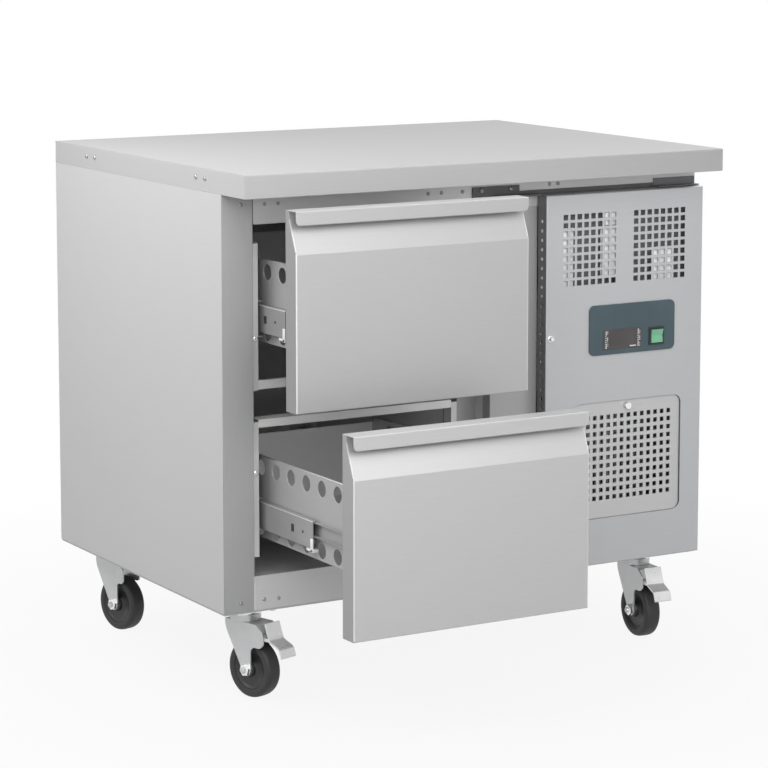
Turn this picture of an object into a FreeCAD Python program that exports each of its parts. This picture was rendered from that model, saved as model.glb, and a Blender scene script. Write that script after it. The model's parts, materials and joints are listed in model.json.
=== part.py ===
import FreeCAD, Part
import math
import os
import Sketcher

# Refrigerated counter with two drawers, on four swivel castors.
# Frame: X to the right, Y to the back, Z up, origin on the floor under the middle of the counter
# as it stands with its drawers drawn out. Millimetres and degrees.

DIMENSIONS = {
    # overall
    "overall_width": 900.0,
    "worktop_depth": 700.0,
    "front_overhang": 78.0,
    "worktop_height": 37.0,
    "cabinet_height": 661.0,
    "castor_height": 152.0,
    # sheet metal
    "skin": 1.2,
    "fold": 20.0,
    "worktop_sheet": 1.5,
    "worktop_round": 2.5,
    "base_sheet": 3.0,
    "liner_sheet": 0.8,
    # insulated box
    "wall": 46.0,
    "partition_wall": 54.0,
    "slot_length": 150.0,
    "slot_height": 8.0,
    "slot_pitch": 22.0,
    "slot_foot": 90.0,
    # front frame
    "stile_width": 54.0,
    "frame_return": 22.0,
    "top_rail_height": 49.0,
    "bottom_rail_height": 55.0,
    "mullion_width": 91.0,
    "machine_width": 318.0,
    "recess_depth": 45.0,
    # drawer bay
    "recess_width": 62.0,
    "upright_flange": 10.5,
    "upright_setback": 3.0,
    "upper_upright_foot": 350.0,
    "upper_upright_height": 232.0,
    "lower_upright_foot": 85.0,
    "lower_upright_height": 215.0,
    "rear_upright_width": 30.0,
    "seal_bar_foot": 352.0,
    "seal_bar_height": 14.0,
    "seal_bar_depth": 6.0,
    "centre_rail_foot": 291.0,
    "centre_rail_height": 13.0,
    "centre_rail_depth": 26.0,
    # drawer fronts
    "front_lap": 20.0,
    "front_height": 307.0,
    "front_thickness": 33.0,
    "front_skin": 1.0,
    "lower_front_foot": 30.0,
    "front_gap": 6.0,
    "upper_open": 138.0,
    "lower_open": 310.0,
    "slope_height": 65.5,
    "slope_depth": 22.0,
    "slope_roof": 12.0,
    "lip_height": 22.0,
    "lip_sheet": 1.5,
    "lip_round": 8.0,
    "front_round": 1.4,
    "inner_panel_sheet": 1.0,
    "inner_panel_margin": 10.0,
    "seal_thickness": 5.0,
    "seal_width": 12.0,
    "seal_overlap": 12.0,
    "seal_inner_lap": 3.0,
    "seal_clearance": 0.3,
    # drawer boxes
    "box_sheet": 1.2,
    "box_height": 131.0,
    "box_foot": 81.0,
    "box_back_gap": 33.9,
    "tray_back_drop": 9.0,
    "box_hole": 25.0,
    "box_hole_inset": 47.0,
    "box_hole_rear": 57.0,
    "box_hole_low": 16.0,
    "box_hole_high": 112.0,
    # telescopic slides
    "slide_space": 16.0,
    "slide_web_gap": 5.4,
    "slide_sheet": 1.2,
    "slide_height": 57.0,
    "ball_space": 5.6,
    "cage_inset": 24.0,
    "inner_height": 23.0,
    "roller_inset": 15.0,
    "slide_centre": 39.0,
    "slide_play": 0.4,
    "slide_back_gap": 68.6,
    "slide_setback": 5.0,
    "middle_length": 480.0,
    "middle_lead": 4.0,
    # service panel
    "panel_width": 317.0,
    "panel_height": 628.0,
    "panel_depth": 24.0,
    "panel_stand_off": 4.0,
    "panel_side_gap": 2.0,
    "panel_foot": 3.0,
    "vent_hole": 9.0,
    "vent_pitch": 13.7,
    "vent_left_inset": 34.0,
    "vent_right_inset": 175.0,
    "vent_foot": 476.0,
    "flank_hole": 6.0,
    "flank_pitch": 15.5,
    "flank_foot": 275.0,
    "filter_port_width": 184.0,
    "filter_port_height": 160.0,
    # control fascia and switch
    "fascia_width": 173.0,
    "fascia_height": 84.0,
    "fascia_inset": 86.0,
    "fascia_foot": 356.0,
    "fascia_thickness": 2.5,
    "fascia_round": 10.0,
    "display_width": 77.0,
    "display_height": 34.0,
    "display_inset": 27.0,
    "display_foot": 8.0,
    "display_proud": 0.5,
    "bezel_size": 30.0,
    "bezel_inset": 120.0,
    "bezel_foot": 10.0,
    "bezel_rim": 3.0,
    "bezel_proud": 2.0,
    "rocker_gap": 0.8,
    "rocker_relief": 2.0,
    "rocker_proud": 3.5,
    "rocker_rise": 1.5,
    # filter grille
    "grille_width": 218.0,
    "grille_height": 197.0,
    "grille_inset": 57.0,
    "grille_foot": 79.0,
    "grille_sheet": 2.0,
    "grille_gap": 0.5,
    "grille_recess": 3.0,
    "grille_round": 14.0,
    "grille_hole": 7.5,
    "grille_hole_inset": 27.5,
    "grille_hole_foot": 30.0,
    "knob_diameter": 11.0,
    "knob_depth": 7.0,
    "knob_drop": 9.8,
    # hinges
    "pin_diameter": 6.0,
    "pin_clearance": 0.05,
    "pin_length": 9.0,
    "pivot_inset": 6.0,
    "pivot_setback": 6.0,
    "bracket_length": 84.0,
    "bracket_sheet": 2.0,
    "bracket_height": 14.0,
    "bracket_gap": 1.0,
    "hinge_plate_length": 90.0,
    "hinge_plate_height": 18.0,
    "hinge_plate_depth": 20.0,
    "hinge_plate_sheet": 2.5,
    "hinge_plate_lead": 36.0,
    "hinge_strip_height": 8.0,
    "hinge_plate_tongue": 33.0,
    # castors
    "castor_side_inset": 70.0,
    "castor_front_inset": 62.0,
    "castor_back_inset": 68.0,
    "wheel_diameter": 94.0,
    "wheel_width": 28.0,
    "tyre_round": 7.0,
    "hub_diameter": 34.0,
    "axle_diameter": 10.0,
    "axle_head": 5.0,
    "axle_head_diameter": 17.0,
    "trail": 20.0,
    "fork_width": 39.0,
    "fork_sheet": 2.5,
    "fork_top": 124.0,
    "fork_head": 54.0,
    "fork_reach": 58.0,
    "fork_short_reach": 46.0,
    "fork_band": 26.0,
    "fork_nose": 12.0,
    "leg_width": 20.0,
    "plate_length": 92.0,
    "plate_width": 76.0,
    "plate_sheet": 3.0,
    "race_diameter": 50.0,
    "race_gap": 0.3,
    "kingpin_diameter": 12.0,
    "kingpin_nut": 20.0,
    "kingpin_nut_height": 7.0,
    "pedal_pin": 5.0,
    "pedal_hub": 11.0,
    "pedal_width": 32.0,
    "pedal_sheet": 2.0,
    "pedal_reach": 37.0,
    "pedal_drop": 50.0,
    "pedal_rise": 4.0,
    "pedal_round": 6.0,
    "pedal_pin_setback": 7.0,
    "pedal_pin_drop": 22.0,
    # cooling unit
    "condenser_width": 212.0,
    "condenser_height": 280.0,
    "condenser_depth": 44.0,
    "condenser_setback": 60.0,
    "fin_gap": 3.0,
    "fin_pitch": 8.0,
    "fin_depth": 12.0,
    "shroud_sheet": 1.5,
    "shroud_length": 34.0,
    "fan_diameter": 186.0,
    "fan_clearance": 4.0,
    "fan_hub": 56.0,
    "fan_depth": 22.0,
    "fan_blade_sheet": 2.0,
    "motor_diameter": 62.0,
    "motor_length": 54.0,
    "motor_arm": 16.0,
    "motor_gap": 1.0,
    "shaft_diameter": 6.0,
    "compressor_diameter": 158.0,
    "compressor_height": 178.0,
    "compressor_setback": 430.0,
    "compressor_foot_width": 190.0,
    "compressor_foot_depth": 170.0,
    "compressor_foot_sheet": 3.0,
    "evaporator_thickness": 28.0,
    "evaporator_length": 380.0,
    "evaporator_height": 300.0,
    "evaporator_setback": 120.0,
    "evaporator_foot": 190.0,
    "cover_sheet": 1.2,
    "cover_setback": 60.0,
    "cool_fan_diameter": 116.0,
    "cool_fan_hub": 40.0,
    "cool_fan_depth": 12.0,
    "cool_motor_length": 15.0,
    # room past a face for cuts that go right through
    "overrun": 5.0,
}

VENT_COLUMNS = 8
VENT_ROWS = 9
FLANK_HOLES = 21
GRILLE_COLUMNS = 13
GRILLE_ROWS = 11
BOX_HOLES = 10
BACK_SLOTS = 12
FAN_BLADES = 5
CASTOR_TURNS = {"front_left": 17.0, "front_right": -5.0, "rear_left": 14.0, "rear_right": -4.0}

# Outlines as shares of the piece that they shape
FORK_SOLE_SHARE = 0.98
FORK_BACK_SHARE = 3.2
FORK_INNER_SHARE = 0.35
FORK_NOSE_SHARE = 0.4
FORK_SHOULDER_SHARE = 0.3
PEDAL_REACH_SHARES = (0.0, 0.27, 0.86, 1.0)
PEDAL_DROP_SHARES = (0.0, 0.54, 0.72, 1.0)
COMPRESSOR_RADIUS_SHARES = (0.0, 0.84, 1.0, 1.0, 0.86, 0.5, 0.0)
COMPRESSOR_HEIGHT_SHARES = (0.0, 0.0, 0.12, 0.72, 0.9, 0.985, 1.0)
BLADE_CHORD_SHARE = 0.9
BLADE_EDGE_SHARE = 0.1
PEDAL_ARM_SHARE = 0.24
KNOB_GRIP_SHARE = 0.55

doc = FreeCAD.newDocument("refrigerated_counter")
sheet = doc.addObject("Spreadsheet::Sheet", "dims")
for row, (alias, number) in enumerate(DIMENSIONS.items(), start=1):
    sheet.set("A%d" % row, alias)
    sheet.set("B%d" % row, "%g" % number)
    sheet.setAlias("B%d" % row, alias)
doc.recompute()


class Size:
    """A length that knows its number and the sheet expression that drives it."""

    def __init__(self, number, text):
        self.number = number
        self.text = text

    def __add__(self, other):
        return Size(self.number + other.number, "(%s + %s)" % (self.text, other.text))

    def __sub__(self, other):
        return Size(self.number - other.number, "(%s - %s)" % (self.text, other.text))

    def __mul__(self, share):
        return Size(self.number * share, "(%s * %r)" % (self.text, share))

    def __truediv__(self, count):
        return Size(self.number / count, "(%s / %r)" % (self.text, count))

    def __neg__(self):
        return Size(-self.number, "(0 - %s)" % self.text)


class Dims:
    """The sheet's cells by name, each as a Size."""

    def __getattr__(self, name):
        return Size(DIMENSIONS[name], "dims." + name)


d = Dims()
ZERO = Size(0.0, "0")
TOUCH = 0.01
EVEN_SPACING = -1.0
nodes = []


# Building blocks


def bind(thing, prop, size):
    thing.setExpression(prop, size.text)


def place(thing, x, y, z):
    bind(thing, "Placement.Base.x", x)
    bind(thing, "Placement.Base.y", y)
    bind(thing, "Placement.Base.z", z)
    return thing


def node(thing, label):
    """Names a finished sub-part, whose shape goes to a file of that name."""
    thing.Label = label
    nodes.append(thing)
    return thing


def block(x, y, z):
    """A box between pairs of coordinates."""
    solid = doc.addObject("Part::Box", "block")
    bind(solid, "Length", x[1] - x[0])
    bind(solid, "Width", y[1] - y[0])
    bind(solid, "Height", z[1] - z[0])
    return place(solid, x[0], y[0], z[0])


AXES = {"x": (1, 0, 0), "y": (0, 1, 0), "z": (0, 0, 1)}


def rod(diameter, length, axis, x, y, z):
    """A cylinder that starts at a point and runs along an axis."""
    solid = doc.addObject("Part::Cylinder", "rod")
    bind(solid, "Radius", diameter / 2)
    bind(solid, "Height", length)
    turn = FreeCAD.Rotation(FreeCAD.Vector(0, 0, 1), FreeCAD.Vector(*AXES[axis]))
    solid.Placement = FreeCAD.Placement(FreeCAD.Vector(), turn)
    return place(solid, x, y, z)


def fuse(*solids):
    joined = doc.addObject("Part::MultiFuse", "fuse")
    joined.Shapes = list(solids)
    return joined


def cut(base, *tools):
    result = doc.addObject("Part::Cut", "cut")
    result.Base = base
    result.Tool = tools[0] if len(tools) == 1 else fuse(*tools)
    return result


def group(*solids):
    """Separate solids that share one node."""
    result = doc.addObject("Part::Compound", "group")
    result.Links = list(solids)
    return result


def origin(body, role):
    return [f for f in body.Origin.OriginFeatures if f.Role == role][0]


def sketch(body, role, points):
    """A closed outline of straight runs on one of the body's own planes."""
    flat = body.newObject("Sketcher::SketchObject", "outline")
    flat.AttachmentSupport = [(origin(body, role), "")]
    flat.MapMode = "FlatFace"
    corners = [FreeCAD.Vector(x.number, y.number, 0) for x, y in points]
    count = len(points)
    for index in range(count):
        flat.addGeometry(Part.LineSegment(corners[index], corners[(index + 1) % count]))
    for index in range(count):
        flat.addConstraint(Sketcher.Constraint("Coincident", index, 2, (index + 1) % count, 1))
    for index, (x, y) in enumerate(points):
        for kind, size in (("DistanceX", x), ("DistanceY", y)):
            rule = flat.addConstraint(Sketcher.Constraint(kind, -1, 1, index, 1, size.number))
            flat.setExpression("Constraints[%d]" % rule, size.text)
    return flat


def rectangle(x, y):
    return [(x[0], y[0]), (x[1], y[0]), (x[1], y[1]), (x[0], y[1])]


def new_body():
    return doc.addObject("PartDesign::Body", "body")


def pad(body, outline, length, back=False):
    feature = body.newObject("PartDesign::Pad", "pad")
    feature.Profile = outline
    feature.Reversed = back
    bind(feature, "Length", length)
    return feature


def pocket(body, outline, length, back=False):
    """A cut that has to take material away."""
    doc.recompute()
    before = body.Shape.Volume
    feature = body.newObject("PartDesign::Pocket", "pocket")
    feature.Profile = outline
    feature.Reversed = back
    bind(feature, "Length", length)
    doc.recompute()
    if body.Shape.Volume >= before:
        raise RuntimeError("a pocket in %s cuts nothing" % body.Name)
    return feature


def pattern(body, feature, axes, pitches, counts):
    """Repeats a feature in rows, along one or two of the body's axes."""
    rows = body.newObject("PartDesign::LinearPattern", "rows")
    rows.Originals = [feature]
    for suffix, axis, pitch, count in zip(("", "2"), axes, pitches, counts):
        setattr(rows, "Direction" + suffix, (origin(body, axis), [""]))
        setattr(rows, "Mode" + suffix, "Spacing")
        setattr(rows, "Occurrences" + suffix, count)
        setattr(rows, "Spacings" + suffix, [EVEN_SPACING] * (count - 1))
        bind(rows, "Offset" + suffix, pitch)
    body.Tip = rows
    return rows


def fillet(body, radius, wanted):
    """Rounds the edges whose middle point and direction pass the test."""
    doc.recompute()
    base = body.Tip
    names = []
    for index, edge in enumerate(base.Shape.Edges, start=1):
        along = edge.tangentAt(edge.FirstParameter)
        if wanted(edge.CenterOfMass, along):
            names.append("Edge%d" % index)
    feature = body.newObject("PartDesign::Fillet", "round")
    feature.Base = (base, names)
    bind(feature, "Radius", radius)
    return feature


def round_corners(body, radius, spots):
    """Rounds the edges across a side outline at the given corners."""
    places = [(y.number, z.number) for y, z in spots]

    def wanted(at, along):
        return along_x(along) and any(math.hypot(at.y - y, at.z - z) < TOUCH for y, z in places)

    return fillet(body, radius, wanted)


def along_x(tangent):
    return abs(tangent.x) > 0.99


def along_y(tangent):
    return abs(tangent.y) > 0.99


def along_z(tangent):
    return abs(tangent.z) > 0.99


def prism(role, points, length, x, y, z, back=False):
    """A straight extrusion of an outline, placed in the counter's frame."""
    body = new_body()
    pad(body, sketch(body, role, points), length, back)
    place(body, x, y, z)
    return body


# Places that many pieces share

LEFT = -(d.overall_width / 2)
RIGHT = d.overall_width / 2
CABINET_DEPTH = d.worktop_depth - d.front_overhang
CLOSED_FACE = d.front_thickness + d.inner_panel_sheet + d.seal_thickness + d.seal_clearance
FRONT = -((CABINET_DEPTH - d.lower_open - CLOSED_FACE) / 2)
BACK = FRONT + CABINET_DEPTH
BASE = d.castor_height
UNDER_TOP = BASE + d.cabinet_height
BOX_FRONT = FRONT + d.frame_return
BOX_BACK = BACK - d.skin - d.skin
MULLION_RIGHT = RIGHT - d.machine_width
MULLION_LEFT = MULLION_RIGHT - d.mullion_width
BAY_LEFT = LEFT + d.stile_width
BAY_RIGHT = MULLION_LEFT - d.recess_width
BAY_WIDTH = BAY_RIGHT - BAY_LEFT
BAY_MIDDLE = BAY_LEFT + BAY_WIDTH / 2
FRONT_WIDTH = BAY_WIDTH + d.front_lap * 2
BAY_FOOT = BASE + d.bottom_rail_height
BAY_ROOF = UNDER_TOP - d.top_rail_height
CAVITY_LEFT = LEFT + d.wall
PARTITION_LEFT = MULLION_LEFT + d.liner_sheet
PARTITION_RIGHT = PARTITION_LEFT + d.partition_wall
CAVITY_BACK = BOX_BACK - d.wall
SLIDE_FRONT = FRONT + d.slide_setback
SLIDE_LENGTH = CAVITY_BACK - SLIDE_FRONT - d.slide_back_gap
BOX_LENGTH = CAVITY_BACK - FRONT + d.seal_clearance + d.seal_thickness - d.box_back_gap
PANEL_RIGHT = RIGHT - d.panel_side_gap
PANEL_LEFT = PANEL_RIGHT - d.panel_width
PANEL_FACE = FRONT - d.panel_stand_off - d.panel_depth
PANEL_FOOT = BASE + d.panel_foot
RECESS_FLOOR = d.grille_recess + d.grille_sheet + d.grille_gap
PANEL_TOP = PANEL_FOOT + d.panel_height


# Worktop and outer skins


def worktop():
    body = new_body()
    pad(body, sketch(body, "XY_Plane", rectangle((ZERO, d.overall_width), (ZERO, d.worktop_depth))), d.worktop_height)
    top = DIMENSIONS["worktop_height"] / 2
    fillet(body, d.worktop_round, lambda at, along: along_x(along) and at.y < top and at.z > top)
    far_x = d.overall_width - d.worktop_sheet
    far_y = d.worktop_depth - d.worktop_sheet
    inside = sketch(body, "XY_Plane", rectangle((d.worktop_sheet, far_x), (d.worktop_sheet, far_y)))
    pocket(body, inside, d.worktop_height - d.worktop_sheet, back=True)
    node(place(body, LEFT, FRONT - d.front_overhang, UNDER_TOP), "worktop_skin")
    core_x = (LEFT + d.worktop_sheet, RIGHT - d.worktop_sheet)
    core_y = (FRONT - d.front_overhang + d.worktop_sheet, BACK - d.worktop_sheet)
    roof = UNDER_TOP + d.worktop_height - d.worktop_sheet
    core = block(core_x, core_y, (UNDER_TOP, roof))
    node(core, "worktop_core")


def side_panels():
    depth = CABINET_DEPTH - d.skin
    bend = d.fold
    far = depth - d.skin
    channel = [
        (ZERO, ZERO), (bend, ZERO), (bend, d.skin), (d.skin, d.skin),
        (d.skin, far), (bend, far), (bend, depth), (ZERO, depth),
    ]
    left_panel = prism("XY_Plane", channel, d.cabinet_height, LEFT, FRONT + d.skin, BASE)
    node(left_panel, "left_side_panel")
    mirrored = [(-x, y) for x, y in channel]
    right_panel = prism("XY_Plane", mirrored, d.cabinet_height, RIGHT, FRONT + d.skin, BASE)
    node(right_panel, "right_side_panel")


def back_panel():
    body = new_body()
    width = d.overall_width - d.skin - d.skin
    height = d.cabinet_height
    pad(body, sketch(body, "XZ_Plane", rectangle((ZERO, width), (ZERO, height))), d.skin, back=True)
    right = width - d.machine_width / 2 + d.slot_length / 2
    slot = rectangle((right - d.slot_length, right), (d.slot_foot, d.slot_foot + d.slot_height))
    vent = pocket(body, sketch(body, "XZ_Plane", slot), d.skin + d.overrun)
    pattern(body, vent, ["Z_Axis"], [d.slot_pitch], [BACK_SLOTS])
    node(place(body, LEFT + d.skin, BOX_BACK, BASE), "back_panel")


def base_panel():
    x = (LEFT + d.skin, RIGHT - d.skin)
    y = (FRONT + d.skin, BACK - d.skin)
    node(block(x, y, (BASE - d.base_sheet, BASE)), "base_panel")


# Front frame


def left_stile():
    inner = d.stile_width - d.skin
    angle = [
        (ZERO, ZERO), (d.stile_width, ZERO), (d.stile_width, d.frame_return),
        (inner, d.frame_return), (inner, d.skin), (ZERO, d.skin),
    ]
    node(prism("XY_Plane", angle, d.cabinet_height, LEFT, FRONT, BASE), "left_stile")


def rails():
    under = [
        (ZERO, ZERO), (d.frame_return, ZERO), (d.frame_return, d.skin),
        (d.skin, d.skin), (d.skin, d.top_rail_height), (ZERO, d.top_rail_height),
    ]
    top_rail = prism("YZ_Plane", under, RIGHT - BAY_LEFT, BAY_LEFT, FRONT, BAY_ROOF)
    end_y = (FRONT + d.skin, FRONT + d.frame_return + d.overrun)
    end = block((RIGHT - d.fold, RIGHT + d.overrun), end_y, (BAY_ROOF - d.overrun, UNDER_TOP))
    node(cut(top_rail, end), "top_rail")
    roof = d.bottom_rail_height - d.skin
    over = [
        (ZERO, ZERO), (d.skin, ZERO), (d.skin, roof), (d.frame_return, roof),
        (d.frame_return, d.bottom_rail_height), (ZERO, d.bottom_rail_height),
    ]
    bottom_rail = prism("YZ_Plane", over, MULLION_LEFT - BAY_LEFT, BAY_LEFT, FRONT, BASE)
    node(bottom_rail, "bottom_rail")


def mullion():
    right = d.mullion_width
    channel = [
        (ZERO, ZERO), (right, ZERO), (right, d.frame_return), (right - d.skin, d.frame_return),
        (right - d.skin, d.skin), (d.skin, d.skin), (d.skin, d.frame_return), (ZERO, d.frame_return),
    ]
    height = d.cabinet_height - d.top_rail_height
    node(prism("XY_Plane", channel, height, MULLION_LEFT, FRONT, BASE), "mullion")


def recess_panel():
    width = d.recess_width
    back = d.recess_depth
    flank = d.upright_setback
    angle = [
        (ZERO, flank), (d.skin, flank), (d.skin, back - d.skin),
        (width, back - d.skin), (width, back), (ZERO, back),
    ]
    height = BAY_ROOF - BAY_FOOT
    node(prism("XY_Plane", angle, height, BAY_RIGHT, FRONT, BAY_FOOT), "recess_panel")


# Insulated box


def insulated_box():
    x = (CAVITY_LEFT, PARTITION_LEFT - d.liner_sheet)
    back = CAVITY_BACK
    z = (BASE + d.wall, UNDER_TOP - d.wall)
    lining = d.liner_sheet
    shell = block((x[0] - lining, x[1] + lining), (BOX_FRONT, back + lining), (z[0] - lining, z[1] + lining))
    hollow = block(x, (BOX_FRONT - d.overrun, back), z)
    node(cut(shell, hollow), "inner_liner")
    left = LEFT + d.skin
    floor = BASE
    full_y = (BOX_FRONT, BOX_BACK)
    span = (CAVITY_LEFT - lining, PARTITION_LEFT)
    slabs = [
        block((left, CAVITY_LEFT - lining), full_y, (floor, UNDER_TOP)),
        block((PARTITION_LEFT, PARTITION_RIGHT), full_y, (floor, UNDER_TOP)),
        block(span, full_y, (floor, z[0] - lining)),
        block(span, full_y, (z[1] + lining, UNDER_TOP)),
        block(span, (back + lining, BOX_BACK), (z[0] - lining, z[1] + lining)),
    ]
    node(group(*slabs), "insulation")


# Drawer bay


def slide_uprights():
    """Angles at the front of the bay and flat bars at its back, which carry the slides."""
    flange = d.upright_flange
    edge = flange - d.skin
    angle = [
        (ZERO, ZERO), (flange, ZERO), (flange, d.frame_return), (edge, d.frame_return), (edge, d.skin), (ZERO, d.skin),
    ]
    mirrored = [(-x, y) for x, y in angle]
    y = FRONT + d.upright_setback
    solids = []
    for outline, x in ((angle, BAY_LEFT), (mirrored, BAY_RIGHT)):
        upper = (d.upper_upright_height, BASE + d.upper_upright_foot)
        lower = (d.lower_upright_height, BASE + d.lower_upright_foot)
        for height, foot in (upper, lower):
            solids.append(prism("XY_Plane", outline, height, x, y, foot))
    slide_end = SLIDE_FRONT + SLIDE_LENGTH
    rear = (slide_end - d.rear_upright_width, slide_end)
    floor = BASE + d.wall
    roof = BASE + d.upper_upright_foot + d.upper_upright_height
    solids.append(block((CAVITY_LEFT, BAY_LEFT + flange), rear, (floor, roof)))
    solids.append(block((BAY_RIGHT - flange, BAY_RIGHT), rear, (floor, roof)))
    node(group(*solids), "slide_uprights")


def cross_bars():
    x = (BAY_LEFT + d.upright_flange, BAY_RIGHT - d.upright_flange)
    y = FRONT + d.upright_setback
    seal_foot = BASE + d.seal_bar_foot
    seal_bar = block(x, (y, y + d.seal_bar_depth), (seal_foot, seal_foot + d.seal_bar_height))
    roof = d.centre_rail_height
    angle = [
        (ZERO, ZERO), (d.skin, ZERO), (d.skin, roof - d.skin), (d.centre_rail_depth, roof - d.skin),
        (d.centre_rail_depth, roof), (ZERO, roof),
    ]
    rail = prism("YZ_Plane", angle, x[1] - x[0], x[0], y, BASE + d.centre_rail_foot)
    node(group(seal_bar, rail), "cross_bars")


def channel_outline(web_side, height, depth):
    """A slide member's section: a web with two flanges, its opening to the other side."""
    far = depth if web_side == "left" else -depth
    wall = d.slide_sheet if web_side == "left" else -d.slide_sheet
    top = height / 2
    return [
        (ZERO, -top), (far, -top), (far, -top + d.slide_sheet), (wall, -top + d.slide_sheet),
        (wall, top - d.slide_sheet), (far, top - d.slide_sheet), (far, top), (ZERO, top),
    ]


def slide_pair(sides, height, depth, length, offset, y, z):
    """One member on each side of the bay, its web offset from the upright towards the drawer."""
    left_x = BAY_LEFT + d.upright_flange + offset
    right_x = BAY_RIGHT - d.upright_flange - offset
    pair = []
    for side, x in zip(sides, (left_x, right_x)):
        outline = channel_outline(side, height, depth)
        pair.append(prism("XZ_Plane", outline, length, x, y, z, back=True))
    return pair


DRAWER_FEET = {"lower": BASE + d.lower_front_foot}
DRAWER_FEET["upper"] = DRAWER_FEET["lower"] + d.front_height + d.front_gap
DRAWER_OPEN = {"upper": d.upper_open, "lower": d.lower_open}
MIDDLE_OFFSET = d.slide_sheet + d.slide_web_gap
INNER_REACH = MIDDLE_OFFSET + d.slide_sheet + d.slide_play
MIDDLE_HEIGHT = d.slide_height - (d.slide_sheet + d.ball_space) * 2
INNER_TOP = MIDDLE_HEIGHT / 2 - d.slide_sheet - d.slide_play
INNER_FOOT = INNER_TOP - d.inner_height


def slide_level(which):
    return DRAWER_FEET[which] + d.box_foot + d.slide_centre


def slide_outer_members():
    """Fixed channels, with a ball cage under each upper flange and over each lower one."""
    depth = d.slide_space / 2
    near = d.upright_flange + d.slide_sheet
    far = d.upright_flange + depth
    cage_y = (SLIDE_FRONT + d.cage_inset, SLIDE_FRONT + SLIDE_LENGTH - d.cage_inset)
    inside = MIDDLE_HEIGHT / 2 + d.slide_play
    outside = d.slide_height / 2 - d.slide_sheet
    members = []
    for which in ("upper", "lower"):
        level = slide_level(which)
        members += slide_pair(("left", "right"), d.slide_height, depth, SLIDE_LENGTH, ZERO, SLIDE_FRONT, level)
        for x in ((BAY_LEFT + near, BAY_LEFT + far), (BAY_RIGHT - far, BAY_RIGHT - near)):
            members.append(block(x, cage_y, (level + inside, level + outside)))
            members.append(block(x, cage_y, (level - outside, level - inside)))
    node(group(*members), "slide_outer_members")


def slide_middle_members(which):
    """Channels that run between the ball cages, with rollers that carry the drawer's own members."""
    depth = d.slide_space - MIDDLE_OFFSET - d.slide_sheet - d.slide_play
    y = FRONT - d.middle_lead - DRAWER_OPEN[which] / 2
    level = slide_level(which)
    members = slide_pair(("left", "right"), MIDDLE_HEIGHT, depth, d.middle_length, MIDDLE_OFFSET, y, level)
    floor = d.slide_sheet - MIDDLE_HEIGHT / 2
    roller = INNER_FOOT - floor - d.slide_play * 2
    width = depth - d.slide_sheet
    web = d.upright_flange + MIDDLE_OFFSET + d.slide_sheet
    for x in (BAY_LEFT + web, BAY_RIGHT - web - width):
        for roller_y in (y + d.roller_inset, y + d.middle_length - d.roller_inset):
            members.append(rod(roller, width, "x", x, roller_y, level + floor + d.slide_play + roller / 2))
    node(group(*members), which + "_slide_middle")


def slide_inner_members(which):
    """Shallow channels on the drawer's sides, in the upper half of the running channels."""
    depth = d.slide_space - INNER_REACH
    y = FRONT - d.seal_clearance - d.seal_thickness - DRAWER_OPEN[which]
    level = slide_level(which) + INNER_TOP - d.inner_height / 2
    pair = slide_pair(("right", "left"), d.inner_height, depth, SLIDE_LENGTH, d.slide_space, y, level)
    node(group(*pair), which + "_slide_inner")


# Drawers


def drawer_front(which):
    """An insulated slab with a sloped grip recess under a turned-down lip."""
    body = new_body()
    height = d.front_height
    roof = height - d.lip_sheet
    outline = [
        (d.front_thickness, ZERO), (ZERO, ZERO), (ZERO, height - d.slope_height),
        (d.slope_depth, height - d.slope_roof), (d.slope_depth, roof), (d.lip_sheet, roof),
        (d.lip_sheet, height), (d.front_thickness, height),
    ]
    reversed_outline = outline[::-1]
    pad(body, sketch(body, "YZ_Plane", reversed_outline), FRONT_WIDTH)
    lip_foot = height - d.lip_height
    lip = sketch(body, "XZ_Plane", rectangle((ZERO, FRONT_WIDTH), (lip_foot, height)))
    pad(body, lip, d.lip_sheet, back=True)
    low = DIMENSIONS["front_height"] - DIMENSIONS["lip_height"]
    near = DIMENSIONS["lip_sheet"]
    fillet(body, d.lip_round, lambda at, along: along_y(along) and abs(at.z - low) < TOUCH and at.y < near)
    grip = low - DIMENSIONS["lip_height"]

    def face_edge(at, along):
        upright = along_z(along) and at.z < grip
        level = along_x(along) and (at.z < TOUCH or at.z > low)
        return at.y < TOUCH and (upright or level) and abs(at.z - low) > TOUCH

    fillet(body, d.front_round, face_edge)
    y = FRONT - DRAWER_OPEN[which] - CLOSED_FACE
    x = BAY_MIDDLE - FRONT_WIDTH / 2
    foot = DRAWER_FEET[which]
    place(body, x, y, foot)
    sheet_in = d.front_skin
    ridge = d.slope_depth + sheet_in
    filling = [
        (d.front_thickness, roof), (ridge, roof), (ridge, height - d.slope_roof),
        (sheet_in, height - d.slope_height), (sheet_in, sheet_in), (d.front_thickness, sheet_in),
    ]
    core = prism("YZ_Plane", filling, FRONT_WIDTH - sheet_in * 2, x + sheet_in, y, foot)
    node(core, which + "_drawer_core")
    node(cut(body, core), which + "_drawer_front")


def seal_box(which):
    """The gasket's outer rectangle, which laps the frame round the bay."""
    x = (BAY_LEFT - d.seal_overlap, BAY_RIGHT + d.seal_inner_lap)
    if which == "upper":
        return x, (BASE + d.seal_bar_foot, BAY_ROOF + d.seal_overlap)
    return x, (BAY_FOOT - d.seal_overlap, BASE + d.centre_rail_foot + d.centre_rail_height)


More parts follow.
